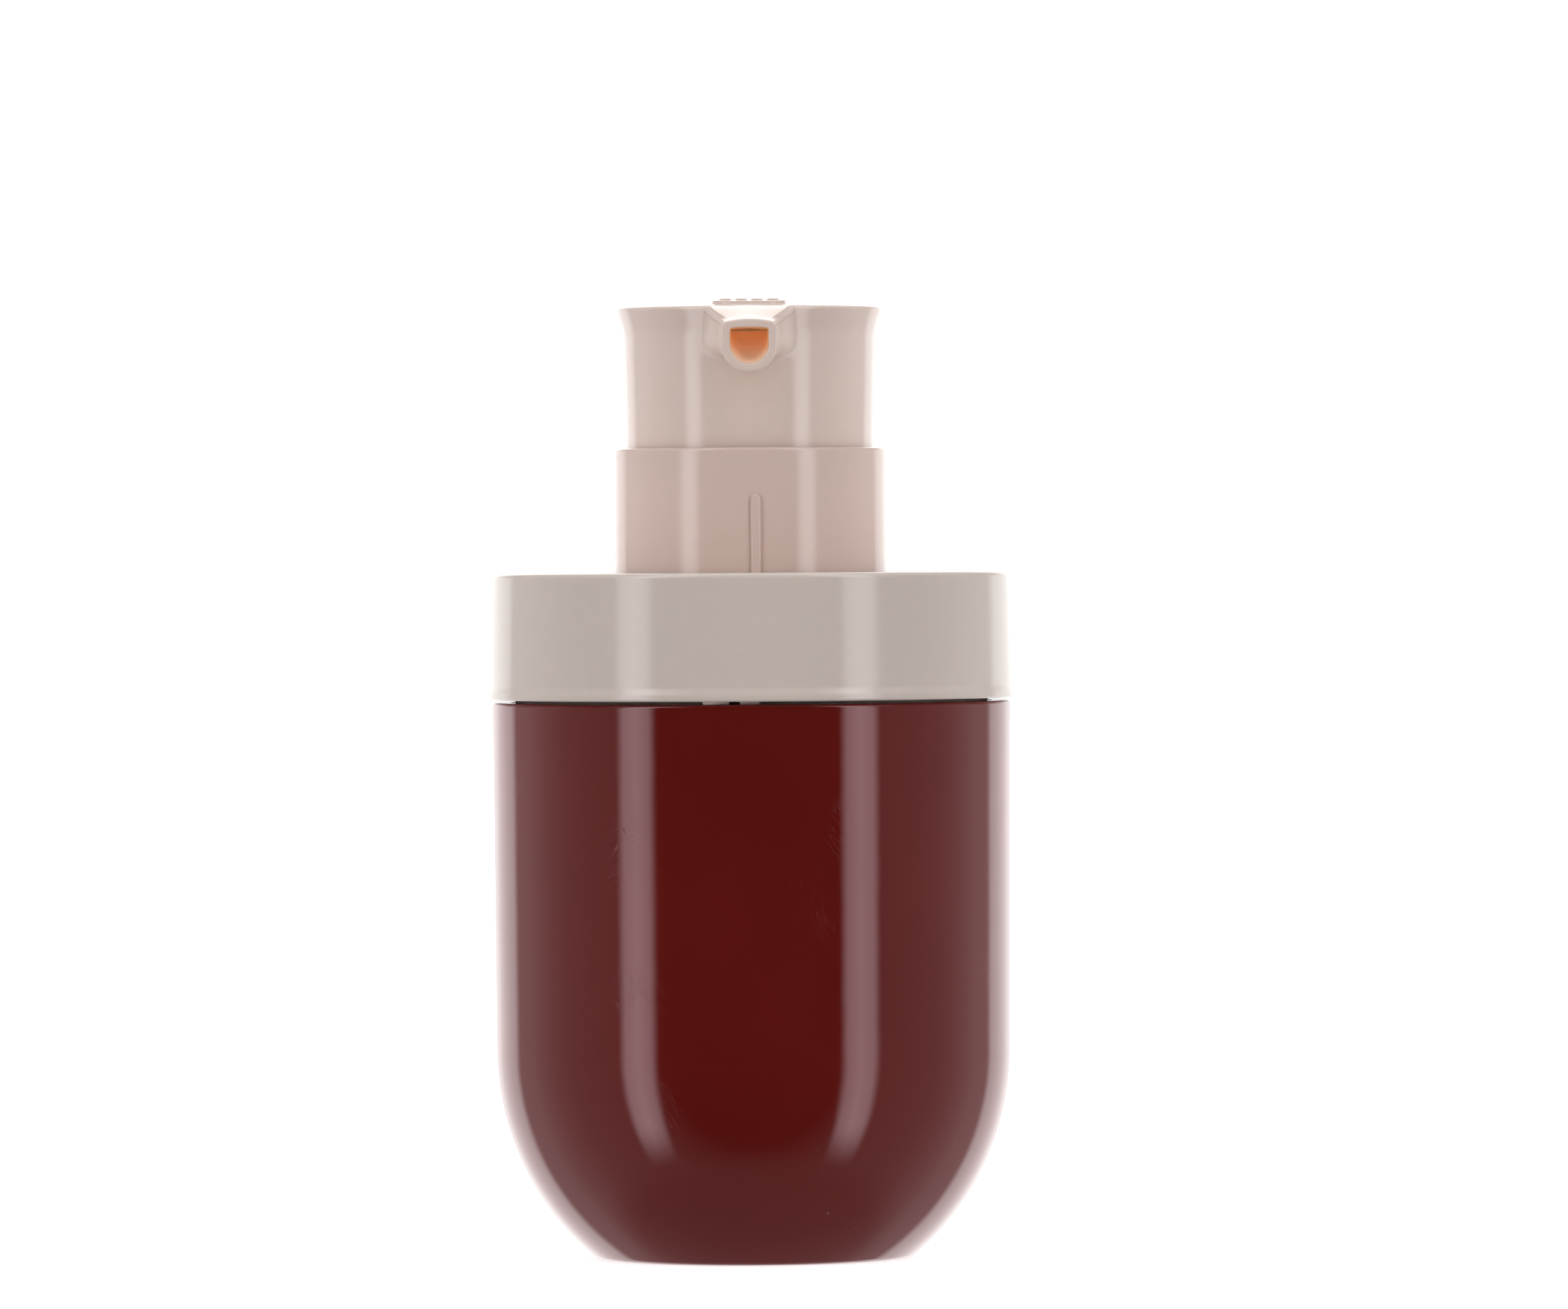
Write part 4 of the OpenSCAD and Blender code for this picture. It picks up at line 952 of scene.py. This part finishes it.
def tick_row(tick, name):
    """Geometry Nodes that set copies of a tick on a row of points, and the row as a plain piece."""
    tree = bpy.data.node_groups.new("tick_row", "GeometryNodeTree")
    tree.interface.new_socket("Geometry", in_out="INPUT", socket_type="NodeSocketGeometry")
    count = tree.interface.new_socket("Count", in_out="INPUT", socket_type="NodeSocketInt")
    pitch = tree.interface.new_socket("Pitch", in_out="INPUT", socket_type="NodeSocketFloat")
    finish = tree.interface.new_socket("Finish", in_out="INPUT", socket_type="NodeSocketMaterial")
    tree.interface.new_socket("Row", in_out="OUTPUT", socket_type="NodeSocketGeometry")
    given = tree.nodes.new("NodeGroupInput")
    own, number, step, material = (Value(tree, given.outputs[i]) for i in range(4))
    start = node(tree, "ShaderNodeCombineXYZ", inputs={0: (number - 1) * step * -0.5})
    offset = node(tree, "ShaderNodeCombineXYZ", inputs={0: step})
    line = node(tree, "GeometryNodeMeshLine",
                inputs={"Count": number, "Start Location": start, "Offset": offset})
    copies = node(tree, "GeometryNodeInstanceOnPoints", inputs={"Points": line, "Instance": own})
    real = node(tree, "GeometryNodeRealizeInstances", inputs={"Geometry": copies})
    coated = node(tree, "GeometryNodeSetMaterial", inputs={"Geometry": real, "Material": material})
    tree.links.new(coated.socket, tree.nodes.new("NodeGroupOutput").inputs[0])
    modifier = tick.modifiers.new("tick_row", "NODES")
    modifier.node_group = tree
    modifier[count.identifier] = MARKS
    modifier[pitch.identifier] = MARK_PITCH * mm
    modifier[finish.identifier] = actuator_satin
    return plain(tick, name)


mark_edge = rolled_edge(-MARK_SUNK, MARK_H - 0.04, MARK_ROUND, 3) + [(0.16, MARK_H - 0.04)]
mark_points, mark_faces = raised(MARK_L / 2, MARK_W / 2, mark_edge, on_pad, ends=6)
tick = new_piece("tick", mark_points, mark_faces, actuator_satin)
add_to(tick_row(tick, "turn_marks"), "head")

# ---- Nozzle insert and core ----
# The translucent orange inner moulding, pressed into the head. Its mouth lines the spout just behind
# the pale face, and its floor climbs to the dark inner end. Its colour is painted paler low down, a
# painted highlight for light on the floor, and it has a painted glow for light through the thin walls.


def orange_plastic():
    """Glossy orange plastic, its colour painted paler at the foot for light on the bore's floor and deeper
    higher up, with a painted glow for light through the walls.
    """
    material, tree, place = open_material("orange_inner")
    # Painted light: the colour is paler low down, where the bore's floor catches light, and deeper orange
    # higher up.
    painted_shade_upward = ease(split(place)[2] - MOUTH_LOW, 0.6, 3.2)
    warm = ease(noise(place, 0.5), 0.3, 0.7) * 0.08
    base = blend_colour(painted_shade_upward, (0.74, 0.57, 0.43), (0.80, 0.43, 0.22))
    base = blend_colour(warm, base, (0.82, 0.46, 0.26))
    # Painted glow: this emission stands in for light that comes through the thin pale wall; the insert is no
    # lamp.
    painted_glow = blend_colour(painted_shade_upward, (0.14, 0.11, 0.08), (0.17, 0.075, 0.03))
    fine = bump(noise(place, 6), 0.002, strength=0.4)
    return finish_material(material, tree, Base_Color=base, Roughness=0.28 + warm, Normal=fine, IOR=1.49,
                           Subsurface_Weight=0.3, Subsurface_Scale=1.0 * mm,
                           Subsurface_Radius=(1.0, 0.35, 0.1), Emission_Color=painted_glow, Emission_Strength=1.0)


orange_inner = orange_plastic()
dress(orange_inner, "actuator_core")
LINER_GAP, LINER_T, LINER_BACK, LINER_LIP, LINER_DEPTH, FLOOR_RISE = 0.03, 0.05, 6.8, 0.26, 5.2, 2.15


def liner_loop(gap, depth, rise=0.0):
    """A loop of the liner, at a gap inside the mouth and a depth behind the face, its floor risen."""
    shape = d_loop(MOUTH_W / 2 - gap, MOUTH_LOW + gap + rise, MOUTH_HIGH - gap, MOUTH_ARCH,
                   max(0.05, MOUTH_CORNER - gap))
    return [Vector((x, FACE_Y + depth, z)) * mm for x, z in shape]


# Along the outside to the rounded lip, then inwards to the closed end.
liner_loops = [liner_loop(LINER_GAP, depth) for depth in (LINER_BACK, 4, LINER_LIP)]
liner_loops += [liner_loop(LINER_GAP + LINER_T * share, LINER_LIP - depth)
                for share, depth in ((0.2, 0.04), (0.8, 0.04), (1, 0))]
liner_loops += [liner_loop(LINER_GAP + LINER_T, LINER_LIP + LINER_DEPTH * t, FLOOR_RISE * t ** 1.3)
                for t in np.linspace(0.08, 1, 14)]
liner = new_piece("nozzle_liner", *skin_through(liner_loops), orange_inner)
stand_for(liner, "nozzle_insert", "head")
